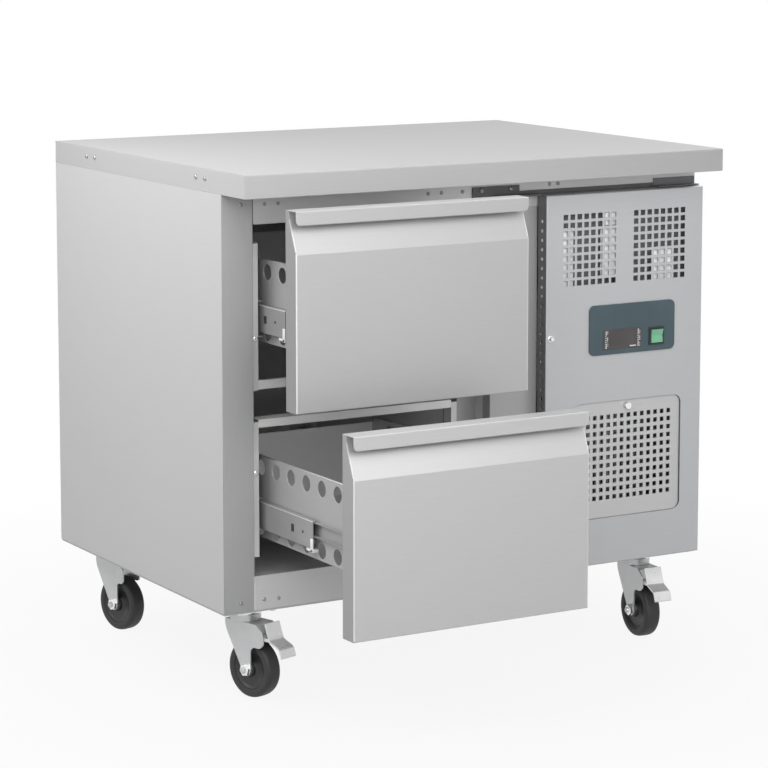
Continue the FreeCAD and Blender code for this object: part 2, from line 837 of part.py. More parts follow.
def drawer_back(which):
    face = FRONT - DRAWER_OPEN[which] - d.seal_clearance
    seal_y = (face - d.seal_thickness, face)
    x, z = seal_box(which)
    outer = block(x, seal_y, z)
    inner_x = (x[0] + d.seal_width, x[1] - d.seal_width)
    inner_z = (z[0] + d.seal_width, z[1] - d.seal_width)
    hole = block(inner_x, (seal_y[0] - d.overrun, seal_y[1] + d.overrun), inner_z)
    node(cut(outer, hole), which + "_drawer_gasket")
    half = FRONT_WIDTH / 2 - d.inner_panel_margin
    foot = DRAWER_FEET[which] + d.inner_panel_margin
    roof = DRAWER_FEET[which] + d.front_height - d.inner_panel_margin
    panel_y = (seal_y[0] - d.inner_panel_sheet, seal_y[0])
    panel = block((BAY_MIDDLE - half, BAY_MIDDLE + half), panel_y, (foot, roof))
    node(panel, which + "_drawer_inner_panel")


def drawer_box(which):
    """Perforated sides and a folded tray, screwed behind the inner panel."""
    front = FRONT - DRAWER_OPEN[which] - d.seal_clearance - d.seal_thickness
    foot = DRAWER_FEET[which] + d.box_foot
    half = BAY_WIDTH / 2 - d.upright_flange - d.slide_space
    sides = []
    for x in (BAY_MIDDLE - half, BAY_MIDDLE + half - d.box_sheet):
        body = new_body()
        pad(body, sketch(body, "YZ_Plane", rectangle((ZERO, BOX_LENGTH), (ZERO, d.box_height))), d.box_sheet)
        hole = body.newObject("Sketcher::SketchObject", "hole")
        hole.AttachmentSupport = [(origin(body, "YZ_Plane"), "")]
        hole.MapMode = "FlatFace"
        centre = FreeCAD.Vector(DIMENSIONS["box_hole_inset"], DIMENSIONS["box_hole_low"], 0)
        hole.addGeometry(Part.Circle(centre, FreeCAD.Vector(0, 0, 1), DIMENSIONS["box_hole"] / 2))
        rules = (("Diameter", None, d.box_hole), ("DistanceX", 3, d.box_hole_inset), ("DistanceY", 3, d.box_hole_low))
        for kind, point, size in rules:
            if point is None:
                rule = hole.addConstraint(Sketcher.Constraint(kind, 0, size.number))
            else:
                rule = hole.addConstraint(Sketcher.Constraint(kind, -1, 1, 0, point, size.number))
            hole.setExpression("Constraints[%d]" % rule, size.text)
        cut_out = pocket(body, hole, d.box_sheet + d.overrun, back=True)
        rise = d.box_hole_high - d.box_hole_low
        pitch = (BOX_LENGTH - d.box_hole_inset - d.box_hole_rear) / (BOX_HOLES - 1)
        pattern(body, cut_out, ["Y_Axis", "Z_Axis"], [pitch, rise], [BOX_HOLES, 2])
        sides.append(place(body, x, front, foot))
    node(group(*sides), which + "_drawer_sides")
    length = BOX_LENGTH
    height = d.box_height
    back = height - d.tray_back_drop
    wall = d.box_sheet
    tray = [
        (ZERO, ZERO), (length, ZERO), (length, back), (length - wall, back), (length - wall, wall),
        (wall, wall), (wall, height), (ZERO, height),
    ]
    width = (half - wall) * 2
    node(prism("YZ_Plane", tray, width, BAY_MIDDLE - half + wall, front, foot), which + "_drawer_tray")


# Service panel with its fittings


def service_panel():
    body = new_body()
    pad(body, sketch(body, "XZ_Plane", rectangle((ZERO, d.panel_width), (ZERO, d.panel_height))), d.panel_depth, True)
    half = DIMENSIONS["panel_depth"] / 2
    fillet(body, d.worktop_round, lambda at, along: at.y < half and not along_y(along))
    inner_x = (d.skin, d.panel_width - d.skin)
    inner_z = (d.skin, d.panel_height - d.skin)
    inside = block(inner_x, (d.skin, d.panel_depth + d.overrun), inner_z)
    for inset in (d.vent_left_inset, d.vent_right_inset):
        hole = rectangle((inset, inset + d.vent_hole), (d.vent_foot, d.vent_foot + d.vent_hole))
        vent = pocket(body, sketch(body, "XZ_Plane", hole), d.skin + d.overrun)
        pitches = [d.vent_pitch, d.vent_pitch]
        pattern(body, vent, ["X_Axis", "Z_Axis"], pitches, [VENT_COLUMNS, VENT_ROWS])
    flank = []
    for index in range(FLANK_HOLES):
        level = d.flank_foot + d.flank_pitch * index
        flank.append(rod(d.flank_hole, d.skin + d.overrun * 2, "x", -d.overrun, d.panel_depth / 2, level))
    bore = d.pin_diameter + d.pin_clearance * 2
    pivot_x = d.panel_width - d.pivot_inset
    pivot_y = d.panel_depth - d.pivot_setback
    pivot = rod(bore, d.panel_height + d.overrun * 2, "z", pivot_x, pivot_y, -d.overrun)
    well = recess_plate(d.grille_gap, RECESS_FLOOR + d.overrun * 2, RECESS_FLOOR + d.overrun)
    rim = recess_plate(d.grille_gap + d.skin, RECESS_FLOOR, RECESS_FLOOR)
    panel = cut(fuse(cut(body, inside), rim), well, pivot, *flank)
    node(place(panel, PANEL_LEFT, PANEL_FACE, PANEL_FOOT), "service_panel")


def recess_plate(margin, thickness, face):
    """A plate on the grille's outline, wider by a margin on each side."""
    near = d.grille_inset - margin
    low = d.grille_foot - margin
    x = (near, near + d.grille_width + margin * 2)
    z = (low, low + d.grille_height + margin * 2)
    return rounded_plate(x, z, thickness, d.grille_round + margin, face)


def filter_pan():
    """The floor of the recess behind the grille, with the port for the air."""
    plate = recess_plate(d.grille_gap + d.skin, d.skin, RECESS_FLOOR + d.skin)
    near = d.grille_inset + d.grille_width / 2 - d.filter_port_width / 2
    low = d.grille_foot + d.grille_height / 2 - d.filter_port_height / 2
    port_x = (near, near + d.filter_port_width)
    port = block(port_x, (ZERO, d.panel_depth), (low, low + d.filter_port_height))
    node(place(cut(plate, port), PANEL_LEFT, PANEL_FACE, PANEL_FOOT), "filter_pan")


def rounded_plate(x, z, thickness, radius, face):
    """A plate with rounded corners, whose back lies on a face that looks to the front."""
    body = new_body()
    pad(body, sketch(body, "XZ_Plane", rectangle((ZERO, x[1] - x[0]), (ZERO, z[1] - z[0]))), thickness)
    fillet(body, radius, lambda at, along: along_y(along))
    return place(body, x[0], face, z[0])


def control_fascia():
    x0 = PANEL_LEFT + d.fascia_inset
    z0 = PANEL_FOOT + d.fascia_foot
    plate = rounded_plate(
        (x0, x0 + d.fascia_width), (z0, z0 + d.fascia_height), d.fascia_thickness, d.fascia_round, PANEL_FACE
    )
    through = (PANEL_FACE - d.fascia_thickness - d.overrun, PANEL_FACE)
    display_x = (x0 + d.display_inset, x0 + d.display_inset + d.display_width)
    display_z = (z0 + d.display_foot, z0 + d.display_foot + d.display_height)
    bezel_x = (x0 + d.bezel_inset, x0 + d.bezel_inset + d.bezel_size)
    bezel_z = (z0 + d.bezel_foot, z0 + d.bezel_foot + d.bezel_size)
    fascia = cut(plate, block(display_x, through, display_z), block(bezel_x, through, bezel_z))
    node(fascia, "control_fascia")
    glass_y = (PANEL_FACE - d.fascia_thickness - d.display_proud, PANEL_FACE)
    node(block(display_x, glass_y, display_z), "display_window")
    bezel_y = (PANEL_FACE - d.fascia_thickness - d.bezel_proud, PANEL_FACE)
    frame = block(bezel_x, bezel_y, bezel_z)
    well_x = (bezel_x[0] + d.bezel_rim, bezel_x[1] - d.bezel_rim)
    well_z = (bezel_z[0] + d.bezel_rim, bezel_z[1] - d.bezel_rim)
    floor = PANEL_FACE - d.skin
    well = block(well_x, (bezel_y[0] - d.overrun, floor), well_z)
    node(cut(frame, well), "switch_bezel")
    width = well_x[1] - well_x[0] - d.rocker_gap * 2
    tall = well_z[1] - well_z[0] - d.rocker_gap * 2
    crest = d.bezel_proud + d.fascia_thickness - d.skin + d.rocker_proud - d.rocker_gap
    wedge = [
        (d.rocker_relief, ZERO), (crest - d.rocker_rise, ZERO), (crest - d.rocker_rise * 2, tall / 2),
        (crest, tall), (d.rocker_relief, tall), (ZERO, tall / 2),
    ]
    facing = [(-y, z) for y, z in wedge][::-1]
    rocker = prism("YZ_Plane", facing, width, well_x[0] + d.rocker_gap, floor - d.rocker_gap, well_z[0] + d.rocker_gap)
    node(rocker, "power_rocker")


def filter_grille():
    body = new_body()
    plate = rectangle((ZERO, d.grille_width), (ZERO, d.grille_height))
    pad(body, sketch(body, "XZ_Plane", plate), d.grille_sheet)
    fillet(body, d.grille_round, lambda at, along: along_y(along))
    left = d.grille_hole_inset
    foot = d.grille_hole_foot
    hole = sketch(body, "XZ_Plane", rectangle((left, left + d.grille_hole), (foot, foot + d.grille_hole)))
    vent = pocket(body, hole, d.grille_sheet + d.overrun, back=True)
    pitches = [d.vent_pitch, d.vent_pitch]
    pattern(body, vent, ["X_Axis", "Z_Axis"], pitches, [GRILLE_COLUMNS, GRILLE_ROWS])
    x = PANEL_LEFT + d.grille_inset
    y = PANEL_FACE + d.grille_recess + d.grille_sheet
    z = PANEL_FOOT + d.grille_foot
    place(body, x, y, z)
    knob_x = x + d.grille_width / 2
    knob_z = z + d.grille_height - d.knob_drop
    neck = d.knob_diameter * KNOB_GRIP_SHARE
    stem_hole = neck + d.pin_clearance * 2
    hole_length = d.grille_sheet + d.overrun * 2
    node(cut(body, rod(stem_hole, hole_length, "y", knob_x, y - d.grille_sheet - d.overrun, knob_z)), "filter_grille")
    grip_y = y - d.grille_sheet - d.knob_depth
    stem = rod(neck, d.knob_depth + d.grille_sheet, "y", knob_x, grip_y, knob_z)
    grip = rod(d.knob_diameter, d.knob_depth / 2, "y", knob_x, grip_y, knob_z)
    node(fuse(stem, grip), "filter_knob")


def panel_hinges():
    """A bracket with a pin above the service panel and one below it."""
    pin_x = PANEL_RIGHT - d.pivot_inset
    pin_y = FRONT - d.panel_stand_off - d.pivot_setback
    x = (PANEL_RIGHT - d.bracket_length, PANEL_RIGHT)
    tongue_y = (pin_y - d.pin_diameter, FRONT)
    flange_y = (FRONT - d.bracket_sheet, FRONT)
    upper = PANEL_TOP + d.bracket_gap
    upper_tongue = block(x, tongue_y, (upper, upper + d.bracket_sheet))
    upper_flange = block(x, flange_y, (upper, upper + d.bracket_height))
    upper_pin = rod(d.pin_diameter, d.pin_length, "z", pin_x, pin_y, upper + d.bracket_sheet - d.pin_length)
    lower = BASE
    lower_tongue = block(x, (tongue_y[0], FRONT + d.skin), (lower, lower + d.bracket_sheet))
    lower_pin = rod(d.pin_diameter, d.pin_length, "z", pin_x, pin_y, lower)
    foot = block(x, (FRONT, FRONT + d.skin), (lower, lower + d.bracket_height))
    node(group(fuse(upper_tongue, upper_flange, upper_pin), fuse(lower_tongue, lower_pin, foot)), "panel_hinges")


def hinge_plate():
    """A bracket on the top rail, with a drilled tongue."""
    x0 = MULLION_LEFT - d.hinge_plate_lead
    z0 = PANEL_TOP
    x = (x0, x0 + d.hinge_plate_length)
    web = block(x, (FRONT - d.hinge_plate_sheet, FRONT), (z0, z0 + d.hinge_plate_height))
    tongue_x = (x0 + d.hinge_plate_length / 2, x0 + d.hinge_plate_length + d.hinge_plate_tongue)
    tongue = block(tongue_x, (FRONT - d.hinge_plate_depth, FRONT), (z0, z0 + d.hinge_plate_sheet))
    eye_x = tongue_x[1] - d.hinge_plate_depth / 2
    eye = rod(d.pin_diameter, d.overrun * 3, "z", eye_x, FRONT - d.hinge_plate_depth / 2, z0 - d.overrun)
    strip_x = (x[1], PANEL_RIGHT - d.bracket_length - d.bracket_gap)
    strip = block(strip_x, (FRONT - d.hinge_plate_sheet, FRONT), (z0, z0 + d.hinge_strip_height))
    node(cut(fuse(web, tongue, strip), eye), "hinge_plate")


# Castors


CASTOR_X = {"left": LEFT + d.castor_side_inset, "right": RIGHT - d.castor_side_inset}
CASTOR_Y = {"front": FRONT + d.castor_front_inset, "rear": BACK - d.castor_back_inset}


def castor_spot(corner):
    end, side = corner.split("_")
    return CASTOR_X[side], CASTOR_Y[end]


def turned(thing, corner, label):
    """Sets a piece that is built about the swivel's axis at its corner, turned as it stands."""
    x, y = castor_spot(corner)
    turn = FreeCAD.Rotation(FreeCAD.Vector(0, 0, 1), CASTOR_TURNS[corner])
    thing.Placement = FreeCAD.Placement(FreeCAD.Vector(), turn)
    return node(place(thing, x, y, ZERO), label)


def castor_plates():
    plates = []
    top = BASE - d.base_sheet
    head = top - d.plate_sheet
    race = head - d.fork_top - d.race_gap
    nut_top = d.fork_top - d.fork_sheet - d.race_gap
    for corner in CASTOR_TURNS:
        x, y = castor_spot(corner)
        half_x = d.plate_width / 2
        half_y = d.plate_length / 2
        plate = block((x - half_x, x + half_x), (y - half_y, y + half_y), (head, top))
        cup = rod(d.race_diameter, race, "z", x, y, head - race)
        pin = rod(d.kingpin_diameter, head - nut_top, "z", x, y, nut_top)
        nut = rod(d.kingpin_nut, d.kingpin_nut_height, "z", x, y, nut_top - d.kingpin_nut_height)
        plates.append(fuse(plate, cup, pin, nut))
    node(group(*plates), "castor_plates")


def castor_fork(corner):
    """A pressed fork: a head over the wheel, a leg each side, and a nose that carries the brake."""
    top = d.fork_top
    axle_z = d.wheel_diameter / 2
    back = d.fork_head / 2
    half_leg = d.leg_width / 2
    heel = -d.trail + half_leg
    toe = -d.trail - half_leg
    sole = axle_z - half_leg
    shoulder = d.fork_head * FORK_SHOULDER_SHARE
    nose = -d.fork_reach if corner.startswith("front") else -d.fork_short_reach
    band = top - d.fork_band - d.fork_nose
    brow = top - d.fork_nose
    outline = [
        (back, top), (back, brow), (heel, axle_z), (heel, sole), (toe, sole), (toe, band), (nose, band),
        (nose, brow), (nose + shoulder, top),
    ]
    half = d.fork_width / 2
    blank = prism("YZ_Plane", outline, d.fork_width, -half, ZERO, ZERO)
    run = toe - nose
    round_corners(blank, d.fork_nose * FORK_BACK_SHARE, [(back, brow)])
    round_corners(blank, half_leg * FORK_SOLE_SHARE, [(heel, sole), (toe, sole)])
    round_corners(blank, run * FORK_INNER_SHARE, [(toe, band)])
    round_corners(blank, run * FORK_NOSE_SHARE, [(nose, band), (nose, brow)])
    slot_x = (-half + d.fork_sheet, half - d.fork_sheet)
    slot = block(slot_x, (-d.fork_reach * 2, d.fork_head), (ZERO, top - d.fork_sheet))
    kingpin = rod(d.kingpin_diameter + d.pin_clearance * 2, d.fork_sheet + d.overrun * 2, "z", ZERO, ZERO,
                  top - d.fork_sheet - d.overrun)
    axle_hole = rod(d.axle_diameter, d.fork_width + d.overrun * 2, "x", -half - d.overrun, -d.trail, axle_z)
    fork = cut(blank, slot, kingpin, axle_hole)
    if corner.startswith("front"):
        pin = rod(d.pedal_pin, d.fork_width, "x", -half, nose + d.pedal_pin_setback, top - d.pedal_pin_drop)
        fork = fuse(fork, pin)
    shank = rod(d.axle_diameter, d.fork_width, "x", -half, -d.trail, axle_z)
    head = rod(d.axle_head_diameter, d.axle_head, "x", -half - d.axle_head, -d.trail, axle_z)
    nut = rod(d.axle_head_diameter, d.axle_head, "x", half, -d.trail, axle_z)
    turned(group(fork, fuse(shank, head, nut)), corner, "castor_%s_fork" % corner)


def castor_wheel(corner):
    """A rubber tyre on a hub that runs on the axle."""
    body = new_body()
    half = d.wheel_width / 2
    radius = d.wheel_diameter / 2
    hub = d.fork_width / 2 - d.fork_sheet - d.race_gap
    bore = d.axle_diameter / 2 + d.pin_clearance
    boss = d.hub_diameter / 2
    web = half / 2
    rim = radius - d.tyre_round * 2
    outline = [
        (-hub, bore), (hub, bore), (hub, boss), (web, boss + d.tyre_round), (web, rim - d.tyre_round), (half, rim),
        (half, radius - d.tyre_round), (half - d.tyre_round, radius), (-half + d.tyre_round, radius),
        (-half, radius - d.tyre_round), (-half, rim), (-web, rim - d.tyre_round), (-web, boss + d.tyre_round),
        (-hub, boss),
    ]
    turn = body.newObject("PartDesign::Revolution", "turn")
    turn.Profile = sketch(body, "XY_Plane", outline)
    turn.ReferenceAxis = (origin(body, "X_Axis"), [""])
    turn.Angle = 360
    place(body, ZERO, -d.trail, radius)
    turned(group(body), corner, "castor_%s_wheel" % corner)


def brake_pedal(corner):
    """A bent tread plate on a hub that turns on the fork's pin."""
    pin_y = -d.fork_reach + d.pedal_pin_setback
    pin_z = d.fork_top - d.pedal_pin_drop
    crown = d.fork_top + d.pedal_rise
    start = -d.fork_reach - d.pedal_sheet
    spots = [
        (start - d.pedal_reach * reach, crown - d.pedal_drop * drop)
        for reach, drop in zip(PEDAL_REACH_SHARES, PEDAL_DROP_SHARES)
    ]
    under = [(y + d.pedal_sheet, z - d.pedal_sheet) for y, z in spots[::-1]]
    half = d.pedal_width / 2
    tread = prism("YZ_Plane", spots + under, d.pedal_width, -half, ZERO, ZERO)
    under_bend, under_flare = under[2], under[1]
    round_corners(tread, d.pedal_round, [spots[1], under_flare])
    round_corners(tread, d.pedal_round + d.pedal_sheet, [under_bend, spots[2]])
    inner = d.fork_width / 2 - d.fork_sheet - d.race_gap
    hub = rod(d.pedal_hub, inner * 2, "x", -inner, pin_y, pin_z)
    arm_z = (pin_z - d.pedal_hub / 4, pin_z + d.pedal_hub / 4)
    arm = block((-inner, inner), (start - d.pedal_reach * PEDAL_ARM_SHARE, pin_y), arm_z)
    bore = rod(d.pedal_pin + d.pin_clearance * 2, d.fork_width, "x", -d.fork_width / 2, pin_y, pin_z)
    turned(group(cut(fuse(tread, hub, arm), bore)), corner, "castor_%s_pedal" % corner)


# Cooling unit


MACHINE_MIDDLE = RIGHT - d.machine_width / 2
FLOOR = BASE
CONDENSER_FRONT = FRONT + d.condenser_setback
CONDENSER_BACK = CONDENSER_FRONT + d.condenser_depth


def condenser():
    body = new_body()
    width = d.condenser_width
    pad(body, sketch(body, "XY_Plane", rectangle((ZERO, width), (ZERO, d.condenser_depth))), d.condenser_height)
    gap = rectangle((d.fin_pitch, d.fin_pitch + d.fin_gap), (d.fin_pitch, d.condenser_height - d.fin_pitch))
    groove = pocket(body, sketch(body, "XZ_Plane", gap), d.fin_depth)
    count = int((DIMENSIONS["condenser_width"] - DIMENSIONS["fin_pitch"]) / DIMENSIONS["fin_pitch"])
    pattern(body, groove, ["X_Axis"], [d.fin_pitch], [count])
    node(place(body, MACHINE_MIDDLE - width / 2, CONDENSER_FRONT, FLOOR), "condenser")


def fan(axis, diameter, hub, depth, x, y, z):
    """Leaning blades round a hub, with a bore for the motor's shaft."""
    body = new_body()
    core = body.newObject("PartDesign::Revolution", "turn")
    core.Profile = sketch(body, "XZ_Plane", rectangle((ZERO, hub / 2), (ZERO, depth)))
    core.ReferenceAxis = (origin(body, "Z_Axis"), [""])
    core.Angle = 360
    half = depth * BLADE_CHORD_SHARE
    low = depth * BLADE_EDGE_SHARE
    high = depth - low
    lean = [(-half, low), (-half + d.fan_blade_sheet, low), (half, high), (half - d.fan_blade_sheet, high)]
    blade = pad(body, sketch(body, "YZ_Plane", lean), diameter / 2 - d.fan_clearance)
    ring = body.newObject("PartDesign::PolarPattern", "ring")
    ring.Originals = [blade]
    ring.Axis = (origin(body, "Z_Axis"), [""])
    ring.Angle = 360
    ring.Occurrences = FAN_BLADES
    body.Tip = ring
    facing = FreeCAD.Rotation(FreeCAD.Vector(0, 0, 1), FreeCAD.Vector(*AXES[axis]))
    body.Placement = FreeCAD.Placement(FreeCAD.Vector(), facing)
    place(body, x, y, z)
    return cut(body, rod(d.shaft_diameter + d.pin_clearance * 2, depth, axis, x, y, z))


def shroud_and_fan():
    top = FLOOR + d.condenser_height
    middle_z = FLOOR + d.condenser_height / 2
    half = d.condenser_width / 2
    opening = d.fan_diameter + d.fan_clearance * 2
    plate_y = (CONDENSER_BACK, CONDENSER_BACK + d.shroud_sheet)
    plate = block((MACHINE_MIDDLE - half, MACHINE_MIDDLE + half), plate_y, (FLOOR, top))
    ring = rod(opening + d.shroud_sheet * 2, d.shroud_length, "y", MACHINE_MIDDLE, CONDENSER_BACK, middle_z)
    reach = d.shroud_length + d.overrun * 2
    bore = rod(opening, reach, "y", MACHINE_MIDDLE, CONDENSER_BACK - d.overrun, middle_z)
    shroud = cut(fuse(plate, ring), bore)
    arm_y = CONDENSER_BACK + d.shroud_length
    arm_half = d.motor_arm / 2
    arm_x = (MACHINE_MIDDLE - half, MACHINE_MIDDLE + half)
    arm = block(arm_x, (arm_y, arm_y + d.shroud_sheet), (middle_z - arm_half, middle_z + arm_half))
    motor = rod(d.motor_diameter, d.motor_length, "y", MACHINE_MIDDLE, arm_y, middle_z)
    shaft_length = d.fan_depth + d.motor_gap
    shaft = rod(d.shaft_diameter, shaft_length, "y", MACHINE_MIDDLE, arm_y - shaft_length, middle_z)
    node(group(shroud, fuse(arm, motor, shaft)), "condenser_shroud")
    fan_y = arm_y - d.motor_gap - d.fan_depth
    blades = fan("y", d.fan_diameter, d.fan_hub, d.fan_depth, MACHINE_MIDDLE, fan_y, middle_z)
    node(blades, "condenser_fan")


def compressor():
    body = new_body()
    radius = d.compressor_diameter / 2
    outline = [
        (radius * across, d.compressor_height * up)
        for across, up in zip(COMPRESSOR_RADIUS_SHARES, COMPRESSOR_HEIGHT_SHARES)
    ]
    shell = body.newObject("PartDesign::Revolution", "turn")
    shell.Profile = sketch(body, "XZ_Plane", outline)
    shell.ReferenceAxis = (origin(body, "Z_Axis"), [""])
    shell.Angle = 360
    y = FRONT + d.compressor_setback
    place(body, MACHINE_MIDDLE, y, FLOOR + d.compressor_foot_sheet)
    half_x = d.compressor_foot_width / 2
    half_y = d.compressor_foot_depth / 2
    foot_z = (FLOOR, FLOOR + d.compressor_foot_sheet)
    foot = block((MACHINE_MIDDLE - half_x, MACHINE_MIDDLE + half_x), (y - half_y, y + half_y), foot_z)
    node(fuse(body, foot), "compressor")


def evaporator():
    right = PARTITION_LEFT - d.liner_sheet
    x = (right - d.evaporator_thickness, right)
    y0 = FRONT + d.evaporator_setback
    z0 = BASE + d.evaporator_foot
    coil = block(x, (y0, y0 + d.evaporator_length), (z0, z0 + d.evaporator_height))
    cover_x = (BAY_RIGHT, BAY_RIGHT + d.cover_sheet)
    cover_z = (BASE + d.wall, UNDER_TOP - d.wall)
    cover = block(cover_x, (FRONT + d.recess_depth, BOX_BACK - d.wall), cover_z)
    fan_y = y0 + d.evaporator_length / 2
    fan_z = z0 + d.evaporator_height / 2
    port = d.cool_fan_diameter + d.fan_clearance * 2
    hole = rod(port, d.cover_sheet + d.overrun * 2, "x", BAY_RIGHT - d.overrun, fan_y, fan_z)
    node(cut(cover, hole), "evaporator_cover")
    motor_x = x[0] - d.cool_motor_length
    motor = rod(d.cool_fan_hub, d.cool_motor_length, "x", motor_x, fan_y, fan_z)
    shaft_length = d.cool_fan_depth + d.motor_gap
    shaft = rod(d.shaft_diameter, shaft_length, "x", motor_x - shaft_length, fan_y, fan_z)
    node(group(coil, fuse(motor, shaft)), "evaporator")
    fan_x = motor_x - d.motor_gap - d.cool_fan_depth
    blades = fan("x", d.cool_fan_diameter, d.cool_fan_hub, d.cool_fan_depth, fan_x, fan_y, fan_z)
    node(blades, "evaporator_fan")


worktop()
side_panels()
back_panel()
base_panel()
left_stile()
rails()
mullion()
recess_panel()
insulated_box()
slide_uprights()
cross_bars()
slide_outer_members()
for drawer in ("upper", "lower"):
    slide_middle_members(drawer)
    slide_inner_members(drawer)
    drawer_front(drawer)
    drawer_back(drawer)
    drawer_box(drawer)
service_panel()
filter_pan()
control_fascia()
filter_grille()
panel_hinges()
hinge_plate()
castor_plates()
for place_name in CASTOR_TURNS:
    castor_fork(place_name)
    castor_wheel(place_name)
    if place_name.startswith("front"):
        brake_pedal(place_name)
condenser()
shroud_and_fan()
compressor()
evaporator()
doc.recompute()

for thing in doc.Objects:
    if "Invalid" in thing.State or "Error" in thing.State:
        raise RuntimeError("%s (%s) failed: %s" % (thing.Name, thing.Label, thing.State))
for thing in nodes:
    if thing.Shape.isNull() or not thing.Shape.isValid():
        raise RuntimeError("the shape of %s is not valid" % thing.Label)

os.makedirs("parts", exist_ok=True)
for thing in nodes:
    thing.Shape.exportStep("parts/%s.step" % thing.Label)
print("wrote %d sub-parts" % len(nodes))
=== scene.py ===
import bmesh
import bpy
import json
import math
from mathutils import Matrix, Vector


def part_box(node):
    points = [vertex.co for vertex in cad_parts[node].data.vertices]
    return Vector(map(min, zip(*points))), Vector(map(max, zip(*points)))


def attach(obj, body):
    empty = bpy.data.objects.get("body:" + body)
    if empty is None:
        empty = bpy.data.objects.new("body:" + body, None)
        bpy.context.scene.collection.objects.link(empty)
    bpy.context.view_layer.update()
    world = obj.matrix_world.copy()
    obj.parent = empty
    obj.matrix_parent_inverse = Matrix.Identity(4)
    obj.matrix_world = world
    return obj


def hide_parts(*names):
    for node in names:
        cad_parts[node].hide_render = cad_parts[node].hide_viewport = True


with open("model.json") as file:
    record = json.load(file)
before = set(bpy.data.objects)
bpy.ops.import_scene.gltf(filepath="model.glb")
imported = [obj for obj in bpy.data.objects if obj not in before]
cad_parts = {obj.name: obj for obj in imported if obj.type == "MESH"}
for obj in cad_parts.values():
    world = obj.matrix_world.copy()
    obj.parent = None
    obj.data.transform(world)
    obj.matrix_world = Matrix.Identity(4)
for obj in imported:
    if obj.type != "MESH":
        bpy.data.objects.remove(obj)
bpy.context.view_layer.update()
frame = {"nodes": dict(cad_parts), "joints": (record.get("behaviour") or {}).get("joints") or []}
nodes = frame["nodes"]
scene = bpy.context.scene

DRAWERS = ("upper", "lower")
CASTORS = ("front_left", "front_right", "rear_left", "rear_right")
TO_FRONT = (0, -1, 0)
TO_BACK = (0, 1, 0)
TO_LEFT = (-1, 0, 0)
TO_RIGHT = (1, 0, 0)
DOWN = (0, 0, -1)

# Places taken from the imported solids

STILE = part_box("left_stile")
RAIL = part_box("top_rail")
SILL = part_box("bottom_rail")
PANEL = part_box("service_panel")
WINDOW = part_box("display_window")
LEFT = STILE[0][0]
FRONT = STILE[0][1]
BASE = STILE[0][2]


# Shader nodes

EDGE_SAMPLES = 6


def new_material(name):
    material = bpy.data.materials.new(name)
    material.use_nodes = True
    tree = material.node_tree
    shader = tree.nodes["Principled BSDF"]
    return material, tree, shader


def link(tree, source, target):
    tree.links.new(source, target)


def noise(tree, scale, detail, stretch=(1, 1, 1)):
    """Noise over the object's own coordinates, drawn out along an axis by its stretch."""
    place = tree.nodes.new("ShaderNodeTexCoord")
    mapping = tree.nodes.new("ShaderNodeMapping")
    mapping.inputs["Scale"].default_value = stretch
    texture = tree.nodes.new("ShaderNodeTexNoise")
    texture.inputs["Scale"].default_value = scale
    texture.inputs["Detail"].default_value = detail
    link(tree, place.outputs["Object"], mapping.inputs["Vector"])
    link(tree, mapping.outputs["Vector"], texture.inputs["Vector"])
    return texture.outputs["Fac"]


def spread(tree, value, low, high, start=0.3, end=0.7):
    """Maps a value between start and end to a range from low to high."""
    node = tree.nodes.new("ShaderNodeMapRange")
    node.inputs["From Min"].default_value = start
    node.inputs["From Max"].default_value = end
    node.inputs["To Min"].default_value = low
    node.inputs["To Max"].default_value = high
    link(tree, value, node.inputs["Value"])
    return node.outputs["Result"]


def combined(tree, operation, first, second):
    """A sum, product or other result of two values."""
    node = tree.nodes.new("ShaderNodeMath")
    node.operation = operation
    link(tree, first, node.inputs[0])
    link(tree, second, node.inputs[1])
    return node.outputs["Value"]


def tint(tree, value, colour, down, up):
    """A colour that goes from a darker to a lighter shade of itself with a value."""
    dark = tuple(c * down for c in colour)
    light = tuple(min(1.0, c * up) for c in colour)
    node = tree.nodes.new("ShaderNodeMix")
    node.data_type = "RGBA"
    node.inputs["A"].default_value = (*dark, 1)
    node.inputs["B"].default_value = (*light, 1)
    link(tree, value, node.inputs["Factor"])
    return node.outputs["Result"]


def edge_normal(tree, radius):
    """The surface normal with the edges eased by a small radius."""
    node = tree.nodes.new("ShaderNodeBevel")
    node.samples = EDGE_SAMPLES
    node.inputs["Radius"].default_value = radius
    return node.outputs["Normal"]


def bump(tree, shader, value, strength, distance, ease=0.0):
    """Fine relief from a value, over edges that are eased where a radius is given."""
    node = tree.nodes.new("ShaderNodeBump")
    if ease:
        link(tree, edge_normal(tree, ease), node.inputs["Normal"])
    node.inputs["Strength"].default_value = strength
    node.inputs["Distance"].default_value = distance
    link(tree, value, node.inputs["Height"])
    link(tree, node.outputs["Normal"], shader.inputs["Normal"])


# Kinds of material

GRAIN = {"x": (0.9, 60, 60), "y": (60, 0.9, 60), "z": (60, 60, 0.9)}
LINE_SCALE = 22.0
LINE_DETAIL = 5.0
LINE_START = 0.25
LINE_END = 0.75
LINE_DARK = 0.955
LINE_LIGHT = 1.04
LINE_ROUGH = 0.05
LINE_STRENGTH = 0.04
LINE_RELIEF = 0.0004
HANDLING_SCALE = 3.2
HANDLING_DETAIL = 4.0
HANDLING_ROUGH = (-0.03, 0.05)
SHEET_EASE = 0.0012
# Normals along X over which left-facing faces turn to a painted shade
LEFT_SHADE_START = -0.8
LEFT_SHADE_END = -0.4

FLECK_DETAIL = 6.0
FLECK_LIGHT_SHARE = 0.6
FLECK_SMOOTHER = 0.05
FLECK_ROUGHER = 0.06
FLECK_STRENGTH = 0.05
FLECK_RELIEF = 0.0003

SKIN_DETAIL = 4.0
SKIN_ROUGH = 0.06
SKIN_RELIEF = 0.0002
MOULD_SCALE = 16.0
MOULD_DETAIL = 3.0
MOULD_DARK = 0.86
MOULD_LIGHT = 1.1


